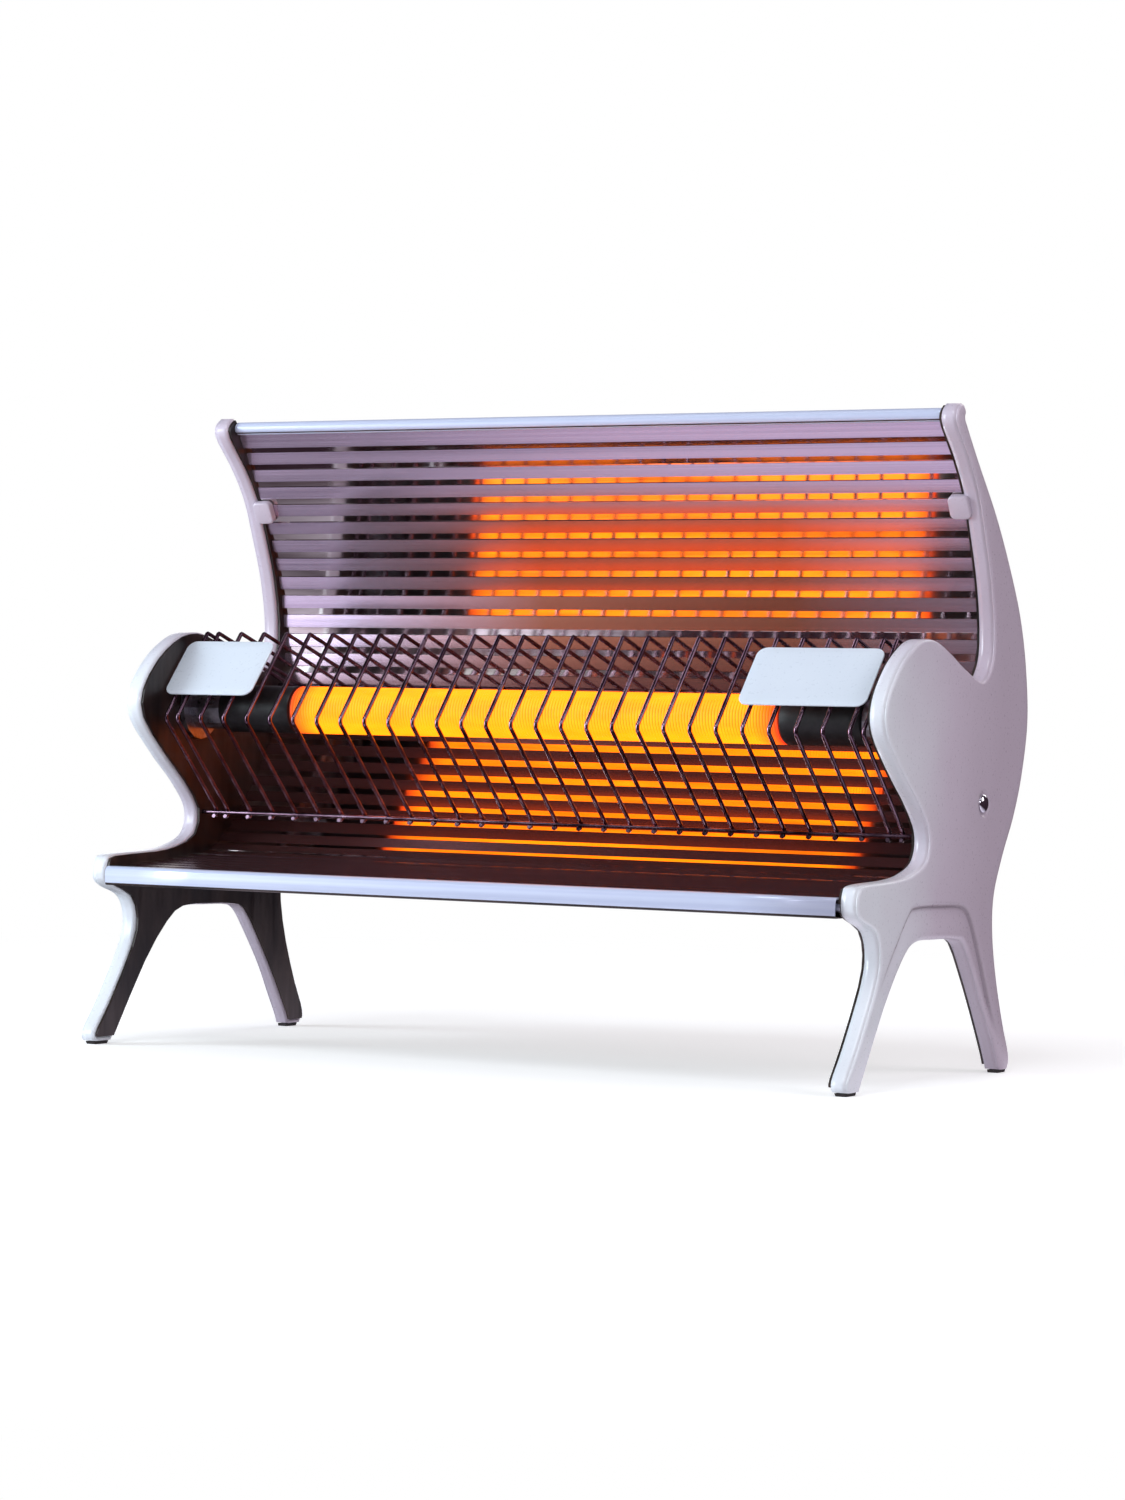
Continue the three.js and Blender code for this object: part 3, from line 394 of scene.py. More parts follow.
def mouldedShell():
    # Gloss moulding: painted light, cool white at the front where it is lit, warmer and duller to
    # the back where it is shaded, the change in wide clouds; painted shade in the crease; a very
    # fine skin
    look = shellFinish
    material, tree, shader = startMaterial("mouldedShell", look["roughness"], coat=look["coat"])
    # Painted light: the tone runs along Y from the lit front to the shaded back
    depth = spreadMm(tree, partsOf(tree, "Object")["Y"], 0.0, 1.0, look["litToShadedDepths"])
    drift = spread(tree, objectNoise(tree, *look["clouds"]), -look["drift"], look["drift"])
    tone = ramp(tree, computed(tree, "ADD", depth, drift), look["tones"])
    # Painted shade in the crease, read from the panel's attribute
    creaseShade = addNode(tree, "Attribute", attribute_name="creaseShade").outputs["Fac"]
    tree.links.new(mixed(tree, creaseShade, tone, rgb(*look["creaseShade"])), shader.inputs["Base Color"])
    skin = objectNoise(tree, *look["grain"])
    tree.links.new(spread(tree, skin, *look["gloss"]), shader.inputs["Roughness"])
    bumpFrom(tree, shader, skin, *look["relief"])
    return material


def darkEnamel():
    # Nearly black enamel on steel: soft upright brown streaks, fine specks, a few polished streaks
    look = enamelFinish
    material, tree, shader = startMaterial("darkEnamel", look["roughness"], look["metallic"])
    clouds = objectNoise(tree, *look["clouds"])
    tree.links.new(ramp(tree, clouds, look["tones"]), shader.inputs["Base Color"])
    streaks = objectNoise(tree, *look["streaks"])
    tree.links.new(spread(tree, streaks, *look["gloss"]), shader.inputs["Roughness"])
    bumpFrom(tree, shader, objectNoise(tree, *look["grain"]), *look["relief"])
    return material


landFinish = {
    "roughness": 0.2, "metallic": 0.76, "lines": ((0.03, 40, 40), 40.0, 3.0, 0.6),
    "tones": ((0.35, (184, 166, 190)), (0.65, (204, 186, 208))), "gloss": (0.2, 0.26),
    # In mm. Heights: full tint below the first, none above the second. The painted glow's middle
    # along X, how far to both sides it is full and how far it goes. The trough's dark tint is
    # painted shade, the brown tint a painted reflection of the rod's glow
    "troughShade": (104, 68, 68), "troughShadeHeights": (178, 212),
    "glowTint": (168, 108, 86), "glowTintHeights": (268, 290), "glowTintAt": 30, "glowTintAcross": (70, 190)}


def brushedLand():
    # Brushed sheet: hair lines along X in tone and roughness, tinted brown where the rod's glow
    # falls most as a painted reflection, darkened in the trough under the rod as painted shade
    look = landFinish
    material, tree, shader = startMaterial("brushedLand", look["roughness"], look["metallic"])
    lines = objectNoise(tree, *look["lines"])
    clean = ramp(tree, lines, look["tones"])
    parts = partsOf(tree, "Object")
    # Painted reflection of the rod's glow: a brown tint near the rod's middle, below a height
    aside = computed(tree, "ABSOLUTE", computed(tree, "SUBTRACT", parts["X"], look["glowTintAt"] * mm))
    glowTintShare = computed(tree, "MULTIPLY", spreadMm(tree, aside, 1.0, 0.0, look["glowTintAcross"]),
                    spreadMm(tree, parts["Z"], 1.0, 0.0, look["glowTintHeights"]))
    warm = mixed(tree, glowTintShare, clean, rgb(*look["glowTint"]))
    # Painted shade: darker in the trough under the rod, below a height
    low = spreadMm(tree, parts["Z"], 1.0, 0.0, look["troughShadeHeights"])
    tree.links.new(mixed(tree, low, warm, rgb(*look["troughShade"])), shader.inputs["Base Color"])
    tree.links.new(spread(tree, lines, *look["gloss"]), shader.inputs["Roughness"])
    return material


# The rod's red is far past white, so it looks yellow itself and orange in the mirror
glow = {"halfLength": 137.0, "redEnd": 14.0, "strength": 3.4, "unlit": (90, 50, 20),
        "roughness": 0.6, "noise": ((1, 3, 3), 45.0, 4.0), "places": (0.35, 0.6),
        "middle": (255, 120, 6), "shade": (252, 110, 4), "end": (150, 30, 12),
        "coreMiddle": (112, 38, 1), "coreEnd": (60, 8, 3)}


def glowing(name, hot, shade, cold):
    # Light of its own: even along the middle, redder over the last stretch at both ends
    material, tree, shader = startMaterial(name, glow["roughness"])
    far = computed(tree, "ABSOLUTE", partsOf(tree, "Object")["X"])
    ends = spreadMm(tree, far, 0.0, 1.0, (glow["halfLength"] - glow["redEnd"], glow["halfLength"]))
    tone = ramp(tree, objectNoise(tree, *glow["noise"]), zip(glow["places"], (shade, hot)))
    tree.links.new(mixed(tree, ends, tone, rgb(*cold)), shader.inputs["Emission Color"])
    shader.inputs["Emission Strength"].default_value = glow["strength"]
    shader.inputs["Base Color"].default_value = rgb(*glow["unlit"])
    return material


braid = {"roughness": 0.8, "scale": 260.0, "distortion": 1.0, "places": (0.2, 0.8),
         "relief": (0.3, 0.0003)}


def wovenSleeve(name, light, dark):
    # Braid: fine slanting waves, raised where they are light
    material, tree, shader = startMaterial(name, braid["roughness"])
    coords = addNode(tree, "TexCoord")
    waves = addNode(tree, "TexWave", {
        "Vector": coords.outputs["Object"], "Scale": braid["scale"],
        "Distortion": braid["distortion"]}, bands_direction="DIAGONAL").outputs["Fac"]
    tone = ramp(tree, waves, zip(braid["places"], (dark, light)))
    tree.links.new(tone, shader.inputs["Base Color"])
    bumpFrom(tree, shader, waves, *braid["relief"])
    return material


shell, enamel, land = mouldedShell(), darkEnamel(), brushedLand()
groove, rearFace, trim = (speckles[k] for k in ("polishedGroove", "sheetBack", "polishedTrim"))
steel, rubber, coverPaint = (speckles[k] for k in ("zincSteel", "softRubber", "coverSteel"))
hotWire = glowing("hotWire", glow["middle"], glow["shade"], glow["end"])
hotCore = glowing("hotCore", glow["coreMiddle"], glow["coreMiddle"], glow["coreEnd"])
sleeve = wovenSleeve("heatSleeve", (214, 196, 158), (176, 154, 112))
earthSleeve = wovenSleeve("earthSleeve", (196, 196, 60), (60, 130, 60))
print("materials ready")

# Camera
camera = {"at": (0.95628, -1.72563, 0.15724), "azimuth": 28.888, "elevation": 0.155, "roll": 1.356,
          "lens": 95.75, "sensor": 36.0, "near": 0.05, "far": 30.0}


def makeCamera():
    # Looks along (-sin a cos e, cos a cos e, -sin e), turned about that line by the roll
    a, e, r = (math.radians(camera[k]) for k in ("azimuth", "elevation", "roll"))
    ahead = np.array([-math.sin(a) * math.cos(e), math.cos(a) * math.cos(e), -math.sin(e)])
    level = np.array([math.cos(a), math.sin(a), 0.0])
    above = np.cross(level, ahead)
    right = math.cos(r) * level + math.sin(r) * above
    up = -math.sin(r) * level + math.cos(r) * above
    data = bpy.data.cameras.new("camera")
    data.lens = camera["lens"]
    data.sensor_width = camera["sensor"]
    data.clip_start, data.clip_end = camera["near"], camera["far"]
    made = bpy.data.objects.new("camera", data)
    bpy.context.scene.collection.objects.link(made)
    turn = np.eye(4)
    turn[:3, 0], turn[:3, 1], turn[:3, 2], turn[:3, 3] = right, up, -ahead, camera["at"]
    made.matrix_world = Matrix(turn.tolist())
    bpy.context.scene.camera = made


makeCamera()
print("camera ready")

# Side panels
panel = {"perSpan": 8, "loopSpacing": 2.0, "gridSpacing": 3.0, "joinSteps": 7, "leastStep": 0.25,
         "rings": (0.15, 0.4, 0.8, 1.3, 2.0, 3.0, 4.6, 6.6, 8.8),  # insets of points along the edge
         "sparseFrom": 4.0,  # deeper rings have every second point and keep off the crease
         "frontRound": (1.7, 1.1), "archRound": (3.2, 2.2), "backRound": (5.0, 3.8),  # reach, drop
         "creaseDepth": 2.2, "creaseReach": 6.0, "creaseFlank": 0.9,
         "creaseEnds": ((44, 72), (14, 40)), "shoulder": 1.1, "shoulderDepth": 0.35,
         "creaseSpacing": 2.0, "creaseClear": 3.0,
         "creaseLines": (-2.2, -1.0, -0.4, 0.0, 0.4, 0.9, 1.6, 2.8), "lineSpacing": 1.6,
         "dishRadius": 6.4, "dishDepth": 1.1, "dishFlank": (0.5, 1.2),
         "dishRings": (5.4, 5.9, 6.3, 6.7, 7.2), "dishClear": (6.3, 1.6), "dishSteps": 40,
         "deepest": 7.6, "wall": 2.0, "edgeRows": 4, "footCut": 1.8,
         # The crease's painted shade: its width, and how far in from the outer plane it reaches
         "creaseShade": 1.0, "creaseShadeDepth": 4.0,
         # A step to find the inner side, a ring's least share of its inset, how far the middle grid
         # and the crease's lines keep from their neighbours, and when two points are one
         "probe": 0.5, "ringShare": 0.97, "gridClear": 9.8, "gridCreaseClear": 3.6,
         "linesClear": 2.2, "mergeWithin": 1e-5}
farBelow = [[80.0, -200.0], [-90.0, -200.0]]  # closes the crease to a loop round the arch
frontRun, archRun, backRun = (spline(place(shares), panel["perSpan"])
                              for shares in (panelFrontShares, panelArchShares, panelBackShares))
creaseRun = spline(place(creaseShares))


def panelEdges():
    # The three runs at equal steps: the outline and every distance from it use the same points
    return [resample(run, panel["loopSpacing"]) for run in (frontRun, archRun, backRun)]


def panelLoop():
    # The closed outline, with straight steps under the feet and at the tip, cut flat above the pads
    front, arch, back = panelEdges()
    joins = [np.linspace(a[-1], b[0], panel["joinSteps"])[1:-1]
             for a, b in ((front, arch), (arch, back), (back, front))]
    loop = np.vstack([front, joins[0], arch, joins[1], back, joins[2]])
    loop[:, 1] = np.maximum(loop[:, 1], panel["footCut"])
    keep = np.linalg.norm(loop - np.roll(loop, 1, 0), axis=1) > panel["leastStep"]
    return loop[keep]


def rounded(distance, reach, drop):
    # A quarter ellipse, drop (1 - sqrt(1 - t^2)), t falling from 1 at the edge to 0 at the reach
    t = np.clip(1 - distance / reach, 0, 1)
    return drop * (1 - np.sqrt(1 - t * t))


def creaseFade(points):
    # The crease dies away down each leg: a smooth step between two heights, front and rear
    (f0, f1), (r0, r1) = panel["creaseEnds"]
    y, z = points.T
    return smoothStep(np.where(y < 0, (z - f0) / (f1 - f0), (z - r0) / (r1 - r0)))


def panelDrop(points):
    # How far the face lies below the outermost plane: the cube root of the sum of the cubes of
    # three rounded edges, the crease (e^-distance on its low side, a bell curve on the other) and
    # the dish
    front, arch, back = panelEdges()
    feet = [front[-1:], arch[:1]], [arch[-1:], back[:1]]
    low = np.minimum(*(distanceTo(np.vstack(f), points) for f in feet))
    edges = [rounded(distanceTo(front, points), *panel["frontRound"]),
             rounded(np.minimum(distanceTo(arch, points), low), *panel["archRound"]),
             rounded(distanceTo(back, points), *panel["backRound"])]
    drop = (edges[0] ** 3 + edges[1] ** 3 + edges[2] ** 3) ** (1 / 3)
    crease = resample(creaseRun, panel["creaseSpacing"])
    away = distanceTo(crease, points)
    lowSide = np.exp(-away / panel["creaseReach"]) * smoothStep(
        away / panel["creaseFlank"] + panel["shoulderDepth"])
    highSide = panel["shoulderDepth"] * np.exp(-(away / panel["shoulder"]) ** 2)
    pressed = np.where(inside(np.vstack([crease, farBelow]), points), lowSide, highSide)
    lip, flank = panel["dishFlank"]
    fromScrew = np.linalg.norm(points - crossBar, axis=1)
    dish = smoothStep((panel["dishRadius"] + lip - fromScrew) / flank)
    return np.minimum(drop + panel["creaseDepth"] * creaseFade(points) * pressed
                      + panel["dishDepth"] * dish, panel["deepest"])


def facePoints(loop):
    # The loop, rings set in from it, a grid in the middle, and extra points along crease and dish
    along = np.roll(loop, -1, 0) - np.roll(loop, 1, 0)
    along /= np.linalg.norm(along, axis=1, keepdims=True)
    inward = np.stack([-along[:, 1], along[:, 0]], 1)
    if not inside(loop, loop[:1] + inward[:1] * panel["probe"])[0]:
        inward = -inward
    closed = np.vstack([loop, loop[:1]])
    crease = resample(creaseRun, panel["lineSpacing"])
    sets = [loop]
    for step in panel["rings"]:
        sparse = step > panel["sparseFrom"]
        ring = (loop + inward * step)[::2 if sparse else 1]
        ring = ring[inside(loop, ring)]
        ring = ring[distanceTo(closed, ring) > step * panel["ringShare"]]
        sets.append(ring[distanceTo(crease, ring) > panel["creaseClear"]] if sparse else ring)
    _, _, normal = stations(crease, np.linspace(0, lengthOf(crease), len(crease)))
    lines = np.vstack([crease + normal * s for s in panel["creaseLines"]])
    angle = np.linspace(0, 2 * np.pi, panel["dishSteps"], endpoint=False)
    circle = np.stack([np.cos(angle), np.sin(angle)], 1)
    rings = np.vstack([crossBar + circle * r for r in panel["dishRings"]])
    low, high = loop.min(0), loop.max(0)
    ys, zs = (np.arange(low[k], high[k], panel["gridSpacing"]) for k in range(2))
    middle = np.stack(np.meshgrid(ys, zs), -1).reshape(-1, 2)
    middle = middle[inside(loop, middle)]
    middle = middle[distanceTo(closed, middle) > panel["gridClear"]]
    lines = lines[inside(loop, lines)]
    lines = lines[distanceTo(closed, lines) > panel["linesClear"]]
    clearRadius, clearBy = panel["dishClear"]
    offCrease = distanceTo(crease, middle) > panel["gridCreaseClear"]
    offDish = np.abs(np.linalg.norm(middle - crossBar, axis=1) - clearRadius) > clearBy
    return np.vstack([*sets, lines, rings, middle[offCrease & offDish]])


def paintedCreaseShade(points):
    # Painted shade along the crease: 1 on the crease, falling off as a bell curve to both sides,
    # none at the feet
    away = distanceTo(resample(creaseRun, panel["creaseSpacing"]), points)
    return np.exp(-(away / panel["creaseShade"]) ** 2) * creaseFade(points)


def sidePanel(name, side):
    # Face: x = side (outer plane - drop(y, z)) on a triangulated side view.
    # Edge: the loop carried straight inwards to the inner plate.
    loop = panelLoop()
    count = len(loop)
    ring = [(i, (i + 1) % count) for i in range(count)]
    flat, _, triangles, *_ = delaunay_2d_cdt(facePoints(loop).tolist(), ring, [], 1,
                                              panel["mergeWithin"])
    flat = np.array([tuple(p) for p in flat])
    face = np.column_stack([side * (body["outerFace"] - panelDrop(flat)), flat])
    top = body["outerFace"] - panelDrop(loop)
    levels = np.linspace(1, 0, panel["edgeRows"])
    rows = [np.column_stack([side * (body["panelInner"] + (top - body["panelInner"]) * t), loop])
            for t in levels]
    faces = [list(t) for t in triangles]
    faces += gridFaces(len(levels), count, wrapColumns=True, first=len(face)).tolist()
    made = makePiece("sidePanel" + name.capitalize(), np.vstack([face, *rows]), faces, [shell],
                     "shell", ["side_panel_" + name], sharpAngle=50, wall=panel["wall"],
                     facing=Vector((side, 0, 0)))
    at = np.empty(3 * len(made.data.vertices))
    made.data.vertices.foreach_get("co", at)
    at = at.reshape(-1, 3) / mm
    # The crease's painted shade, kept to the outer face
    outside = np.abs(at[:, 0]) > body["outerFace"] - panel["creaseShadeDepth"]
    creaseShade = made.data.attributes.new("creaseShade", "FLOAT", "POINT")
    creaseShade.data.foreach_set("value", paintedCreaseShade(at[:, 1:]) * outside)
    return made


for name, side in sides.items():
    sidePanel(name, side)
print("side panels ready")

# Mirror sheet
# Widths by height; turns towards the rod by height, in degrees, of the strips and of the lands
mirror = {"pitch": 10.25, "sheet": 0.6, "crown": 0.08, "recess": 0.55, "wall": 0.28, "columns": 9,
          "points": 5,  # across each strip and each land
          "stripWidth": ((96, 3.0), (116, 3.4), (124, 4.4), (156, 4.4), (190, 3.7)),
          "stripTurn": ((92, 0), (99, 21), (106, 18), (120, 16), (128, 19), (152, 24), (164, 24),
                        (184, 6), (200, 0), (213, 0), (221, 4), (232, 2.5), (240, 2), (289, 2),
                        (294, 7)),
          "landTurn": ((96, 0), (104, 6), (112, 9), (124, 11), (140, 15), (156, 16), (170, 6),
                       (186, 0), (200, -4), (226, -6), (240, 0.4), (272, 0.6), (278, -1.5),
                       (285, -5), (300, -7), (308, -12))}
mirrorRun = spline(place(mirrorShares), 12)


def mirrorSheet():
    # Each pitch has a polished strip, sunk by the recess between two short walls, and a matt land.
    # The offset from the sheet's run is the place across times tan(turn), for a strip less the
    # recess and for a land with a low crown added
    length = lengthOf(mirrorRun)
    count = int(length // mirror["pitch"])
    middles = (length - count * mirror["pitch"]) / 2 + (np.arange(count) + 0.5) * mirror["pitch"]
    heights = stations(mirrorRun, middles)[0][:, 1]
    widths = np.interp(heights, *zip(*mirror["stripWidth"]))
    turns = np.tan(np.radians(np.interp(heights, *zip(*mirror["stripTurn"]))))
    lows, highs = np.append(0.0, middles + widths / 2), np.append(middles - widths / 2, length)
    landHeights = stations(mirrorRun, (lows + highs) / 2)[0][:, 1]
    landTurns = np.tan(np.radians(np.interp(landHeights, *zip(*mirror["landTurn"]))))
    points = mirror["points"]
    across = np.linspace(-0.5, 0.5, points)
    crown = mirror["crown"] * (1 - 4 * across ** 2)
    distances, offsets, kinds = [], [], []
    for k in range(count + 1):
        wide = highs[k] - lows[k]
        distances += list((lows[k] + highs[k]) / 2 + across * wide)
        offsets += list(across * wide * landTurns[k] + crown)
        kinds += [0] * (points - 1)
        if k < count:
            flat = widths[k] - 2 * mirror["wall"]
            distances += list(middles[k] + across * flat)
            offsets += list(across * flat * turns[k] - mirror["recess"])
            kinds += [1] * (points + 1)
    point, _, normal = stations(mirrorRun, np.array(distances))
    profile = point + normal * np.array(offsets)[:, None]
    xs = np.linspace(-sheetEnd, sheetEnd, mirror["columns"])
    front = carryAlongX(profile, xs)
    back = carryAlongX(profile - normal * mirror["sheet"], xs)
    rows, columns = front.shape[:2]
    loop = np.concatenate([front, back[:, ::-1]], 1)
    j = np.arange(columns - 1)
    ends = [np.stack([j, j + 1, 2 * columns - 2 - j, 2 * columns - 1 - j], 1) + row * 2 * columns
            for row in (0, rows - 1)]
    faces = np.vstack([gridFaces(rows, 2 * columns, wrapColumns=True), *ends])
    slots = np.tile(np.array(kinds + [0] + [2] * len(kinds) + [0]), rows - 1)
    slots = np.concatenate([slots, np.zeros(2 * (columns - 1), int)])
    return makePiece("mirrorSheet", loop, faces, [land, groove, rearFace], "mirror",
                     ["mirror_sheet"], sharpAngle=25, faceSlots=slots)


mirrorSheet()
print("mirror sheet ready")

# Lugs of the panels, lapping over the mirror sheet
lugs = {"reach": 7.0, "inPanel": 3.7, "thick": 3.5, "height": 12.0, "corner": 2.6, "edge": 0.8,
        "edgeSteps": 5, "share": 0.865}


def roundedOutline(width, height, corner, count=7):
    # A rectangle with quarter-circle corners, anticlockwise
    u, v = width / 2 - corner, height / 2 - corner
    quarters = [((u, -v), -90), ((u, v), 0), ((-u, v), 90), ((-u, -v), 180)]
    return np.vstack([arc(c, corner, a, a + 90, count) for c, a in quarters])


def panelLug(name, side):
    # Rings of a rounded rectangle: back face, edge, rounded front edge, front; closed at the middle
    point, tangent, normal = stations(mirrorRun, lugs["share"] * lengthOf(mirrorRun))
    width, thick, e = lugs["reach"] + lugs["inPanel"], lugs["thick"], lugs["edge"]
    outline = roundedOutline(width, lugs["height"], lugs["corner"])
    turn = np.linspace(0, np.pi / 2, lugs["edgeSteps"])
    span = np.array([width, lugs["height"]])
    rows = [(outline * 0, 0.0), (outline, 0.0), (outline, thick / 2)]
    rows += [(outline * (1 - 2 * e * (1 - np.cos(t)) / span), thick - e + e * np.sin(t))
             for t in turn]
    rows += [(outline * 0, thick)]
    x = side * (body["halfWidth"] - lugs["reach"] + width / 2)
    grid = np.array([np.column_stack([
        x + flat[:, 0], point + tangent * flat[:, 1:] + normal * (body["gap"] + lift)])
        for flat, lift in rows])
    return gridPiece("panelLug" + name.capitalize(), grid, [shell], "shell", sharpAngle=40)


for name, side in sides.items():
    panelLug(name, side)
print("lugs ready")

# Rolled edge along the top and folded lip along the front
edge = {"radius": 3.25, "bore": 2.45, "steps": 56, "columns": 7, "break": 0.5, "breakDrop": 0.35,
        "breakEnd": 2.0, "seam": 0.4, "seamAt": 1.19, "seamHalf": 0.07}  # last two in half turns
lip = {"height": 9.4, "depth": 8.0, "wall": 0.8, "topCorner": 2.2, "topSteps": 8, "lowCorner": 1.2,
       "lowSteps": 6, "crown": 0.3, "faceSteps": 9, "columns": 9}


def topBead():
    # A rolled tube: radius constant, less a seam, a bell curve of the angle, low on its front
    broken, plain = sheetEnd - edge["break"], sheetEnd - edge["breakEnd"]
    xs = np.array([-sheetEnd, -broken, *np.linspace(-plain, plain, edge["columns"]), broken,
                   sheetEnd])
    angle = np.arange(edge["steps"]) * 2 * np.pi / edge["steps"]
    fromSeam = np.abs(angle / np.pi - edge["seamAt"])
    seam = edge["seam"] * np.exp(-(fromSeam / edge["seamHalf"]) ** 2)
    inset = np.where(np.abs(xs) > broken, edge["breakDrop"], 0.0)
    radius = edge["radius"] - seam[None] - inset[:, None]
    outer = gridOf(xs[:, None], beadCentre[0] + radius * np.sin(angle),
                   beadCentre[1] + radius * np.cos(angle))
    inner = latheAboutX([(x, edge["bore"]) for x in xs[::-1]], beadCentre, len(angle))
    grid = np.concatenate([outer, inner])
    dark = (fromSeam < edge["seamHalf"]) & (np.roll(fromSeam, -1) < edge["seamHalf"])
    slots = np.outer(np.arange(len(grid)) < len(xs) - 1, dark).ravel()
    return gridPiece("topBead", grid, [trim, enamel], "trim", ["top_bead"], True, faceSlots=slots)


def frontLip():
    # A folded channel open to the rear: rounded top corner, crowned face, tighter low corner in
    # dark enamel as painted shade
    y, z = lipFront
    high, low, rear = z + lip["height"] / 2, z - lip["height"] / 2, y + lip["depth"]
    r, q = lip["topCorner"], lip["lowCorner"]
    t = np.linspace(0, 1, lip["faceSteps"])[1:-1]
    face = np.stack([y - lip["crown"] * 4 * t * (1 - t), high - r - t * (high - r - low - q)], 1)
    outer = np.vstack([[[rear, high]], arc((y + r, high - r), r, 90, 180, lip["topSteps"]), face,
                       arc((y + q, low + q), q, 180, 270, lip["lowSteps"]), [[rear, low]]])
    xs = np.linspace(-sheetEnd, sheetEnd, lip["columns"])
    # The low corner takes the dark enamel: painted shade along the lip's underside
    paintedShadeFrom = len(outer) - lip["lowSteps"] - 1
    slots = np.tile(np.arange(len(outer) - 1) >= paintedShadeFrom, len(xs) - 1)
    return makePiece("frontLip", carryAlongX(outer, xs), gridFaces(len(xs), len(outer)),
                     [trim, enamel], "trim", ["front_lip"], sharpAngle=40, faceSlots=slots,
                     wall=lip["wall"], facing=Vector((0, -1, 0)))


topBead()
frontLip()
print("edges ready")

# Wire guard
guard = {"wire": 1.05, "pitch": 13.8, "count": 28, "endStep": 6.9, "bend": 0.8, "section": 8,
         "bendSteps": 6, "hookRadius": 2.1, "hookTurn": (-250, -90), "hookSteps": 10,
         "intoPlate": 1.2, "railSection": 12}
guardFoot, guardKneeLow = place((0.443, 0.361)), place((0.22, 0.507))
guardKneeHigh, guardRidge = place((0.22, 0.515)), place((0.392, 0.648))
guardHeel = place((0.781, 0.57))


def roundedPath(corners, reach, steps):
    # Each inner corner becomes a quadratic curve from one trim point to the other
    path = [corners[0]]
    for before, corner, after in zip(corners[:-2], corners[1:-1], corners[2:]):
        back, ahead = before - corner, after - corner
        trim = min(reach, np.linalg.norm(back) * 0.45, np.linalg.norm(ahead) * 0.45)
        a = corner + back / np.linalg.norm(back) * trim
        b = corner + ahead / np.linalg.norm(ahead) * trim
        t = np.linspace(0, 1, steps)[:, None]
        path += list((1 - t) ** 2 * a + 2 * t * (1 - t) * corner + t ** 2 * b)
    return np.array([*path, corners[-1]])


def guardPath():
    # From a hook round the foot rail, up over the two knees and the ridge, down to the heel rail
    up = guardKneeLow - guardFoot
    up /= np.linalg.norm(up)
    start = math.degrees(math.atan2(up[1], up[0]))
    first, last = (start + turn for turn in guard["hookTurn"])
    hook = arc(guardFoot, guard["hookRadius"], first, last, guard["hookSteps"])
    corners = [hook[-1], guardKneeLow, guardKneeHigh, guardRidge, guardHeel]
    return np.vstack([hook[:-1], roundedPath(corners, guard["bend"], guard["bendSteps"])])


def wireGuard():
    # One tube section carried along the path, repeated at every wire's x, and two straight rails
    path = guardPath()
    slope = np.gradient(path, axis=0)
    slope /= np.linalg.norm(slope, axis=1, keepdims=True)
    across = np.stack([-slope[:, 1], slope[:, 0]], 1)
    angle = np.arange(guard["section"]) * 2 * np.pi / guard["section"]
    xs = evenly(guard["count"], guard["pitch"])
    xs = np.concatenate([[xs[0] - guard["endStep"]], xs, [xs[-1] + guard["endStep"]]])
    sideways, lift = guard["wire"] * np.cos(angle), guard["wire"] * np.sin(angle)
    y, z = path.T[..., None] + lift * across.T[..., None]
    grid = gridOf(xs[:, None, None] + sideways, y, z)
    per, around = len(path) * len(angle), len(angle)
    one = gridFaces(len(path), around, wrapColumns=True)
    faces = (one[None] + (np.arange(len(xs)) * per)[:, None, None]).reshape(-1, 4).tolist()
    for k in range(len(xs)):
        faces += [[k * per + j for j in range(around)],
                  [(k + 1) * per - 1 - j for j in range(around)]]
    points, first = [grid.reshape(-1, 3)], len(xs) * per
    end, r, count = body["halfWidth"] + guard["intoPlate"], guard["wire"], guard["railSection"]
    for centre in (guardFoot, guardHeel):
        rail = latheAboutX([(-end, 0), (-end, r), (end, r), (end, 0)], centre, count)
        points.append(rail.reshape(-1, 3))
        faces += gridFaces(len(rail), count, wrapColumns=True, first=first).tolist()
        first += len(rail) * count
    return makePiece("wireGuard", np.vstack(points), faces, [speckles["darkWire"]], "guard",
                     ["wire_guard"], sharpAngle=50)


wireGuard()
print("guard ready")

# Bare plates on the guard
plates = {"lengths": {"left": 52.0, "right": 66.0}, "gaps": {"left": 1.0, "right": 9.0},
          "height": 36.0, "thick": 1.0, "corner": 5.0, "edge": 0.3, "upSlope": 0.52, "bow": 0.25,
          "knee": (0.221, 0.521),
          "edgeShare": 0.3,  # of the edge's rounding, where it has its middle ring
          "bowRings": ((0.75, 0.5), (0.4, 0.85), (0.0, 1.0))}  # shares of the outline and the bow


def slab(outline):
    # Rings of the outline: back face, edge, rounded front edge, then shrinking to the bowed centre
    half, e, between = plates["thick"] / 2, plates["edge"], plates["edge"] * plates["edgeShare"]
    rings = [(0.0, -half, 0.0), (1.0, -half, e), (1.0, -half + e, 0.0), (1.0, half - e, 0.0),
             (1.0, half - between, between), (1.0, half, e),
             *((share, half + plates["bow"] * part, e) for share, part in plates["bowRings"])]
    span = outline.max(0) - outline.min(0)
    return np.array([np.column_stack([
        outline * share * (1 - 2 * inset / span), np.full(len(outline), lift)])
        for share, lift, inset in rings])


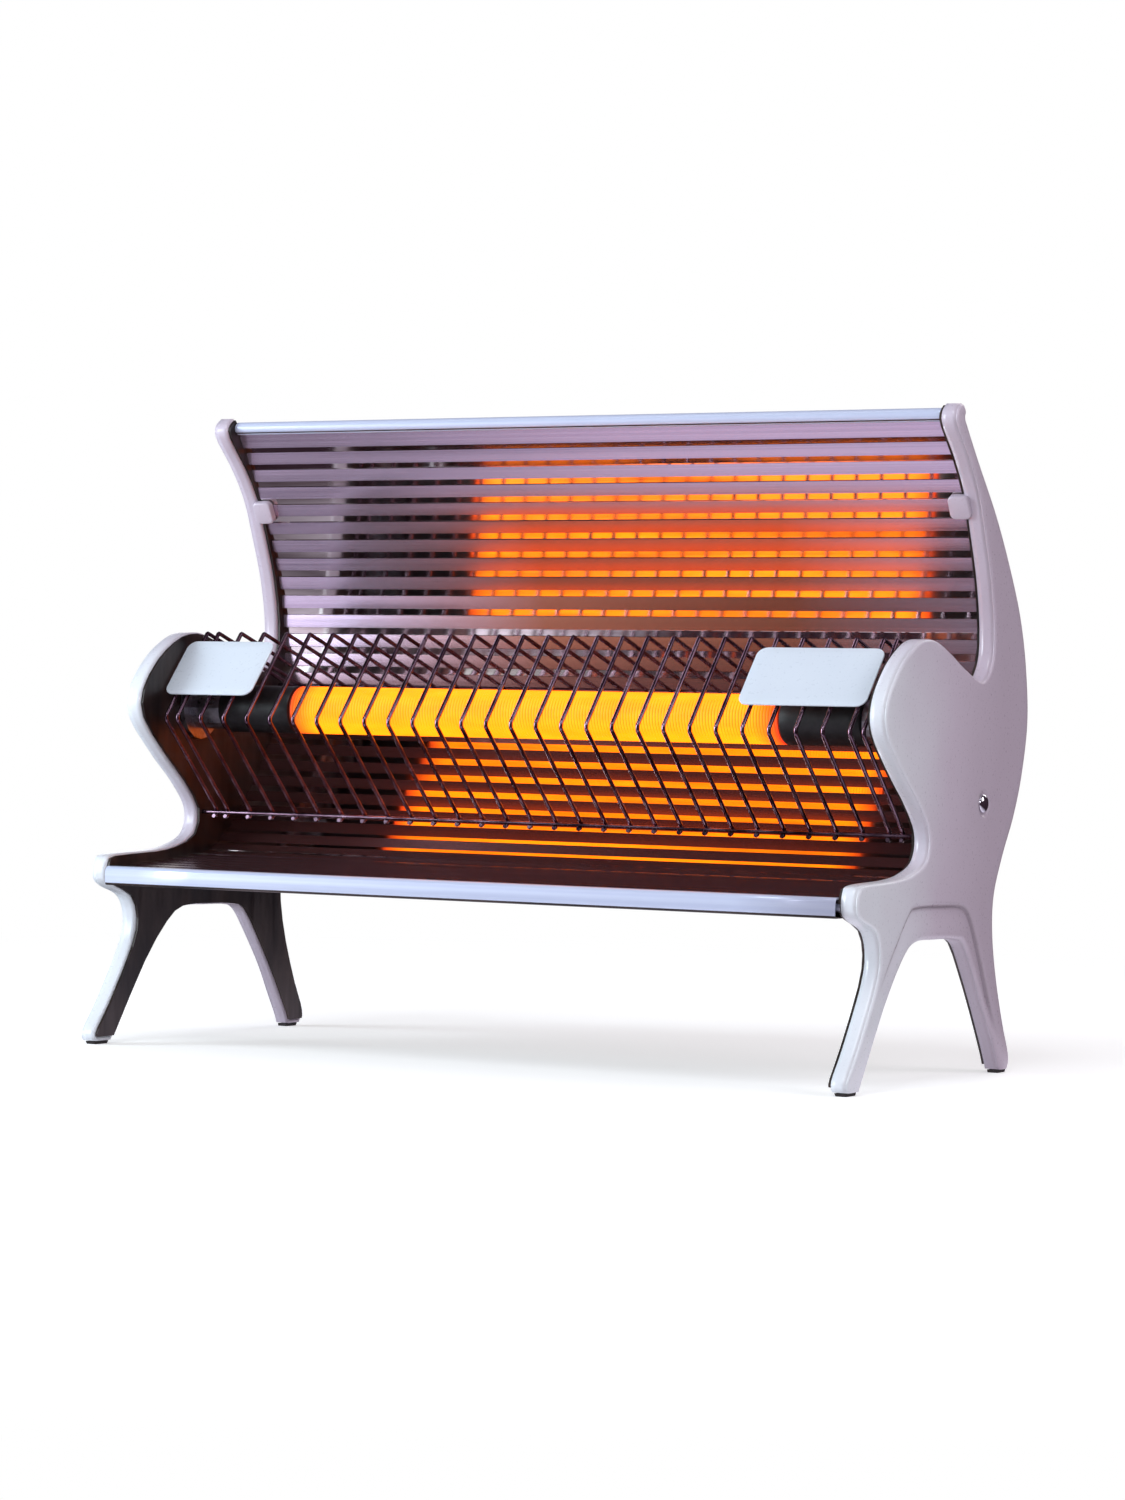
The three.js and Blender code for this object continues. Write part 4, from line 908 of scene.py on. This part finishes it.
def labelPlate(name, side):
    # The slab's (x, s, t) go to middle + s slope + t outward on the guard's upper slope
    outline = roundedOutline(plates["lengths"][name], plates["height"], plates["corner"])
    grid = slab(outline)
    knee = place(plates["knee"])
    slope = guardRidge - knee
    slope /= np.linalg.norm(slope)
    outward = np.array([-slope[1], slope[0]])
    middle = knee + (guardRidge - knee) * plates["upSlope"]
    middle = middle + outward * (guard["wire"] + body["gap"] + plates["thick"] / 2)
    x = side * (body["halfWidth"] - plates["gaps"][name] - plates["lengths"][name] / 2)
    along, out = grid[..., 1], grid[..., 2]
    y, z = (m + along * s + out * o for m, s, o in zip(middle, slope, outward))
    return gridPiece("barePlate" + name.capitalize(), gridOf(x + grid[..., 0], y, z),
                     [speckles["barePlate"]], "label", ["label_plate_" + name], sharpAngle=30)


for name, side in sides.items():
    labelPlate(name, side)
print("plates ready")

# Rod, winding and cold ends
winding = {"turns": 172, "radius": 11.35, "wire": 0.62, "steps": 26, "section": 6, "endGap": 0.1}
rod = {"end": 176.0, "bore": 3.6, "neck": 9.2, "core": 10.75, "shoulder": 0.2,
       "hotSteps": (125, 11)}
cold = {"start": 137.3, "end": 179.3, "radius": 12.0, "edge": 0.8, "bore": 9.5, "plain": 6.0,
        "edgeShare": 0.3, "columns": 5}
aroundRod = 48


def heatingWinding():
    # A helix: centre (x, r sin a, -r cos a); the section turns about the radial and the X direction
    steps = winding["turns"] * winding["steps"]
    a = np.linspace(0, 2 * np.pi * winding["turns"], steps + 1)
    half = glow["halfLength"] - winding["wire"] - winding["endGap"]
    x = np.linspace(-half, half, steps + 1)
    phi = np.arange(winding["section"]) * 2 * np.pi / winding["section"]
    r = winding["radius"] + winding["wire"] * np.cos(phi)[None]
    grid = gridOf(x[:, None] + winding["wire"] * np.sin(phi),
                  rodCentre[0] + r * np.sin(a)[:, None], rodCentre[1] - r * np.cos(a)[:, None])
    faces = gridFaces(len(a), len(phi), wrapColumns=True).tolist()
    last = (len(a) - 1) * len(phi)
    faces += [list(range(len(phi))), [last + len(phi) - 1 - j for j in range(len(phi))]]
    return makePiece("heatingWinding", grid, faces, [hotWire], "glow", ["heating_winding"],
                     sharpAngle=60)


def glowingCore():
    # The ceramic rod under the winding, bored through; its middle glows through the turns
    end, bore, neck, core = (rod[k] for k in ("end", "bore", "neck", "core"))
    hot, (reach, steps) = glow["halfLength"], rod["hotSteps"]
    half = [(-end, bore), (-end, neck), (-hot - rod["shoulder"], neck), (-hot, core)]
    profile = [*half, *[(x, core) for x in np.linspace(-reach, reach, steps)],
               *[(-x, r) for x, r in half[::-1]]]
    grid = latheAboutX(profile, rodCentre, aroundRod)
    rowHot = np.array([len(half) - 2 < i < len(profile) - len(half) for i in range(len(profile))])
    return gridPiece("ceramicRod", grid, [speckles["plainCeramic"], hotCore], "ceramic",
                     ["ceramic_rod"], True, sharpAngle=40, faceSlots=np.repeat(rowHot, aroundRod))


def coldEnd(name, side):
    # A black sleeve over the rod's end, its edges broken
    s, e, r, k = cold["start"], cold["end"], cold["radius"], cold["edge"]
    b = cold["edgeShare"] * k
    plain = np.linspace(s + cold["plain"], e - cold["plain"], cold["columns"])
    profile = [(s, cold["bore"]), (s, r - k), (s + b, r - b), (s + k, r), *[(x, r) for x in plain],
               (e - k, r), (e - b, r - b), (e, r - k), (e, cold["bore"])]
    grid = latheAboutX([(side * x, radius) for x, radius in profile], rodCentre, aroundRod)
    return gridPiece("coldEnd" + name.capitalize(), grid, [speckles["blackCeramic"]], "cap",
                     ["rod_cap_" + name], True, sharpAngle=40)


heatingWinding()
glowingCore()
for name, side in sides.items():
    coldEnd(name, side)
print("rod ready")

# Side screws
screw = {"seat": 209.2, "height": 2.4, "radius": 4.6, "shank": 1.9, "length": 24.0, "rings": 22,
         "steps": 64}


def sideScrew(name, side):
    # A quarter ellipse turned into a dome, on a shank
    turn = np.linspace(0, np.pi / 2, screw["rings"])
    height, radius = screw["height"] * np.cos(turn), screw["radius"] * np.sin(turn)
    tip = body["outerFace"] - screw["length"]
    profile = [*zip(screw["seat"] + height, radius), (screw["seat"], screw["shank"]),
               (tip, screw["shank"]), (tip, 0.0)]
    grid = latheAboutX([(side * x, r) for x, r in profile], crossBar, screw["steps"])
    return gridPiece("sideScrew" + name.capitalize(), grid, [speckles["chromeDome"]], "trim",
                     ["side_screw_" + name], sharpAngle=35)


for name, side in sides.items():
    sideScrew(name, side)
print("screws ready")

# Back cover: lengths across are along X, lengths along follow its run from low to high
cover = {"inset": 7.8, "thick": 0.8, "startShare": 0.235, "endShare": 0.84, "topShare": 0.86,
         "behindMirror": 1.8, "runSteps": 60, "across": 34, "along": 48,
         "ventShares": (0.45, 0.62), "ventRows": 3, "ventColumns": 8, "ventPitch": 36.0,
         "ventLength": 26.0, "hoodRise": 2.2, "hoodLength": 7.5, "hoodEnd": 4.0, "hoodEndSteps": 6,
         "hoodMiddle": (-6, -2, 2, 6), "slotLow": 2.0, "slotHalf": 0.05,
         "hoodRows": (-4.0, -2.04, -1.96, -1.2, -0.4, 0.4, 1.2, 2.0, 2.8, 3.6, 4.4, 5.5, 7.0),
         "screwShares": (0.36, 0.78), "screwPlace": 193.0, "screwHole": 2.3,
         "screwGrid": (3.2, 0.5),
         "searchStep": 0.25, "gridOver": 0.1,  # the second so that a grid's last step counts
         "decimals": 2,  # grid lines that agree to these are one
         "glandShare": 0.625, "glandPlace": 160.0, "glandHole": 7.8, "glandGrid": (9.0, 1.0)}


def nearestAlong(run, share):
    # Length along the cover's run at the point nearest to a share of the panels' back edge
    step = cover["searchStep"]
    point, _, _ = stations(backRun, share * lengthOf(backRun))
    return step * float(np.argmin(np.linalg.norm(resample(run, step) - point, axis=1)))


def coverHood(x, s, vents):
    # Rise over the sheet: sqrt(1 - u^2) (1 - smooth step of v), u from 0 to 1 over each end of the
    # hood and v from 0 to 1 up from the slot
    rise = np.zeros(np.broadcast(x, s).shape)
    half, end = cover["ventLength"] / 2, cover["hoodEnd"]
    for vx, vs in vents:
        u = np.clip((np.abs(x - vx) - half + end) / end, 0, 1)
        v = (s - vs + cover["slotLow"]) / cover["hoodLength"]
        rise += np.where((v >= 0) & (v <= 1), np.sqrt(1 - u * u) * (1 - smoothStep(v)), 0)
    return cover["hoodRise"] * rise


def backCover():
    # A sheet carried along X: point(s) - normal(s) (thickness + hood rise), slots and holes open
    shares = np.linspace(cover["startShare"], cover["endShare"], cover["runSteps"])
    point, _, normal = stations(backRun, shares * lengthOf(backRun))
    top, _, topNormal = stations(mirrorRun, cover["topShare"] * lengthOf(mirrorRun))
    inner = np.vstack([point + normal * cover["inset"], top - topNormal * cover["behindMirror"]])
    length = lengthOf(inner)
    rows = [nearestAlong(inner, s) for s in np.linspace(*cover["ventShares"], cover["ventRows"])]
    columns = evenly(cover["ventColumns"], cover["ventPitch"])
    vents = [(c, r) for c in columns for r in rows]
    screws = [(side * cover["screwPlace"], nearestAlong(inner, s)) for side in sides.values()
              for s in cover["screwShares"]]
    gland = (cover["glandPlace"], nearestAlong(inner, cover["glandShare"]))
    half, endAt = cover["ventLength"] / 2, cover["ventLength"] / 2 - cover["hoodEnd"]
    hoodEnd = np.linspace(endAt, half, cover["hoodEndSteps"])
    hood = np.concatenate([-hoodEnd[::-1], cover["hoodMiddle"], hoodEnd])
    nearScrew, nearGland = (np.arange(-reach, reach + cover["gridOver"], step)
                            for reach, step in (cover["screwGrid"], cover["glandGrid"]))
    xs = [np.linspace(-sheetEnd, sheetEnd, cover["across"]), *(c + hood for c in columns),
          *(nearScrew + x for x in (screws[0][0], screws[-1][0])), gland[0] + nearGland]
    ss = [np.linspace(0, length, cover["along"]), *(r + np.array(cover["hoodRows"]) for r in rows),
          *(nearScrew + s for _, s in screws[:2]), gland[1] + nearGland]
    xs, ss = (np.unique(np.round(np.concatenate(v), cover["decimals"])) for v in (xs, ss))
    ss = ss[(ss >= 0) & (ss <= length)]
    point, _, normal = stations(inner, ss)
    lift = cover["thick"] + coverHood(xs[:, None], ss[None], vents)
    grid = gridOf(xs[:, None], *(point.T[:, None] - normal.T[:, None] * lift))
    faces = gridFaces(len(xs), len(ss))
    middle = np.stack(np.meshgrid(xs, ss, indexing="ij"), -1).reshape(-1, 2)[faces].mean(1)
    keep = np.ones(len(faces), bool)
    for at, hole in [*((s, cover["screwHole"]) for s in screws), (gland, cover["glandHole"])]:
        keep &= np.linalg.norm(middle - at, axis=1) > hole
    for vx, vs in vents:
        inSlot = np.abs(middle[:, 1] - vs + cover["slotLow"]) < cover["slotHalf"]
        keep &= ~((np.abs(middle[:, 0] - vx) < half) & inSlot)
    return makePiece("backCover", grid, faces[keep], [coverPaint], "cover", ["back_cover"],
                     sharpAngle=45, wall=cover["thick"], facing=Vector((0, 1, 0)))


backCover()
print("back cover ready")

# Carried-over nodes keep their shapes and get these finishes
carried = {
    "inner_plate": enamel, "foot_pad": rubber, "rod_holder": steel, "terminal_stud": steel,
    "terminal_nut": steel, "supply_lead": sleeve, "cover_screw": steel, "bottom_cover": coverPaint,
    "top_tie_rod": steel, "front_tie_rod": steel, "cross_bar": steel, "earth_lead": earthSleeve,
    "terminal_block": speckles["blockPlastic"], "earth_screw": steel, "cord_gland": rubber,
}
for nodeName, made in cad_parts.items():
    for start, material in carried.items():
        if nodeName.startswith(start):
            made.data.materials.clear()
            made.data.materials.append(material)
print("carried-over nodes ready")

# Studio: pale floor, white backdrop, soft lamps
white = (1.0, 1.0, 1.0, 1.0)
studio = {"floorHalf": 8.0, "floorLift": 0.45, "fade": (0.45, 1.1),  # metres
          "worldLight": 0.22, "worldColour": (1.0, 0.92, 0.99), "roomColour": (0.035, 0.02, 0.03),
          # What polished metal sees: paper near the heater, a white screen to the left, else dim
          "paperEdges": (0.26, 0.48), "screenEdges": (-0.47, -0.56), "screenTop": (0.15, 0.4),
          "screenFrom": (0.45, 0.7), "paperMirrored": (1.0, 0.92, 1.1),
          "screenMirrored": (1.6, 1.6, 1.65), "shadeBeside": ((-0.24, -0.2), (-0.1, -0.14)),
          "lamps": [  # place, aim, size, watts, colour
              ((-1.42, -1.05, 0.5), (0.0, 0.0, 0.15), 0.8, 24.0, (0.8, 0.93, 1.0)),
              ((0.2, -1.6, 2.2), (0.0, 0.0, 0.1), 1.2, 24.0, (0.9, 0.96, 1.0)),
              ((2.0, 0.2, 1.4), (0.0, 0.0, 0.1), 1.4, 12.5, (1.0, 0.92, 0.99)),
              ((0.9, -1.5, 0.7), (0.0, 0.0, 0.17), 0.25, 2.5, (1.0, 0.96, 1.0)),
              ((0.2, 1.9, 1.5), (0.0, 0.0, 0.15), 1.6, 14.0, (1.0, 0.97, 0.97))]}


def rayKinds(tree):
    # Two factors: 1 for what the camera sees, and 1 for what polished metal mirrors
    rays = addNode(tree, "LightPath")
    return rays.outputs["Is Camera Ray"], rays.outputs["Is Glossy Ray"]


def plainLight(tree, colour, strength=1.0):
    # Colour times strength, whatever lights it
    return addNode(tree, "Emission", {"Color": colour, "Strength": strength}).outputs[0]


def mixedShader(tree, factor, first, second):
    # Shader (1 - factor) first + factor second
    return addNode(tree, "MixShader", {0: factor, 1: first, 2: second}).outputs[0]


def makeFloor():
    # Paper that keeps a soft shadow near the heater and turns plain white further out; polished
    # metal sees it white near the heater and under the screen, else dim
    half = studio["floorHalf"]
    mesh = bpy.data.meshes.new("floor")
    mesh.from_pydata([(-half, -half, 0), (half, -half, 0), (half, half, 0), (-half, half, 0)], [],
                     [(0, 1, 2, 3)])
    floor = bpy.data.objects.new("floor", mesh)
    bpy.context.scene.collection.objects.link(floor)
    material, tree, shader = startMaterial("floorPaper", 0.9, specular=0.0)
    mesh.materials.append(material)
    seen, mirrored = rayKinds(tree)
    coords = addNode(tree, "TexCoord").outputs["Object"]
    far = addNode(tree, "VectorMath", {0: coords}, operation="LENGTH").outputs["Value"]
    way = addNode(tree, "VectorMath", {0: coords}, operation="NORMALIZE").outputs["Vector"]
    way, spot = (addNode(tree, "SeparateXYZ", {"Vector": v}).outputs for v in (way, coords))
    fade = addNode(tree, "MapRange", {
        "Value": far, "From Min": studio["fade"][0], "From Max": studio["fade"][1]},
        interpolation_type="SMOOTHSTEP").outputs["Result"]
    lifted = addNode(tree, "AddShader", {
        0: shader.outputs[0], 1: plainLight(tree, white, studio["floorLift"])}).outputs[0]
    faded = mixedShader(tree, fade, lifted, plainLight(tree, white))
    screen = computed(tree, "MULTIPLY", spread(tree, way["X"], 0.0, 1.0, *studio["screenEdges"]),
                      spread(tree, far, 0.0, 1.0, *studio["screenFrom"]))
    # Polished metal sees the paper with a painted shadow to the heater's left, except in front of
    # it
    beside = computed(tree, "MAXIMUM", *(spread(tree, spot[axis], 0.0, 1.0, *ends)
                                         for axis, ends in zip("XY", studio["shadeBeside"])))
    paper = computed(tree, "MULTIPLY", beside, spread(tree, far, 1.0, 0.0, *studio["paperEdges"]))
    room = mixed(tree, computed(tree, "MAXIMUM", screen, paper), (*studio["roomColour"], 1.0),
                 (*studio["paperMirrored"], 1.0))
    plainOrMirrored = mixedShader(tree, mirrored, shader.outputs[0], plainLight(tree, room))
    whole = mixedShader(tree, seen, plainOrMirrored, faded)
    tree.links.new(whole, tree.nodes["Material Output"].inputs["Surface"])


def makeWorld():
    # White to the camera; mirrored, a white screen low on the left and a dim room elsewhere
    world = bpy.data.worlds.new("world")
    world.use_nodes = True
    sky = world.node_tree
    seen, mirrored = rayKinds(sky)
    way = partsOf(sky, "Generated")
    screen = computed(sky, "MULTIPLY", spread(sky, way["X"], 0.0, 1.0, *studio["screenEdges"]),
                      spread(sky, way["Z"], 1.0, 0.0, *studio["screenTop"]))
    room = mixed(sky, screen, (*studio["roomColour"], 1.0), (*studio["screenMirrored"], 1.0))
    soft = (*(c * studio["worldLight"] for c in studio["worldColour"]), 1.0)
    seenOrNot = mixed(sky, seen, mixed(sky, mirrored, soft, room), white)
    sky.links.new(seenOrNot, sky.nodes["Background"].inputs["Color"])
    bpy.context.scene.world = world


def makeLamp(name, at, aim, size, watts, colour):
    # A square lamp whose -Z looks from its place to what it is aimed at
    data = bpy.data.lights.new(name, "AREA")
    data.size, data.energy, data.color = size, watts, colour
    lamp = bpy.data.objects.new(name, data)
    bpy.context.scene.collection.objects.link(lamp)
    ahead = (Vector(aim) - Vector(at)).normalized()
    lamp.matrix_world = Matrix.Translation(at) @ ahead.to_track_quat("-Z", "Y").to_matrix().to_4x4()


makeFloor()
makeWorld()
for k, settings in enumerate(studio["lamps"]):
    makeLamp(f"lamp{k}", *settings)
bpy.context.scene.view_settings.view_transform = "Standard"
print("studio ready")
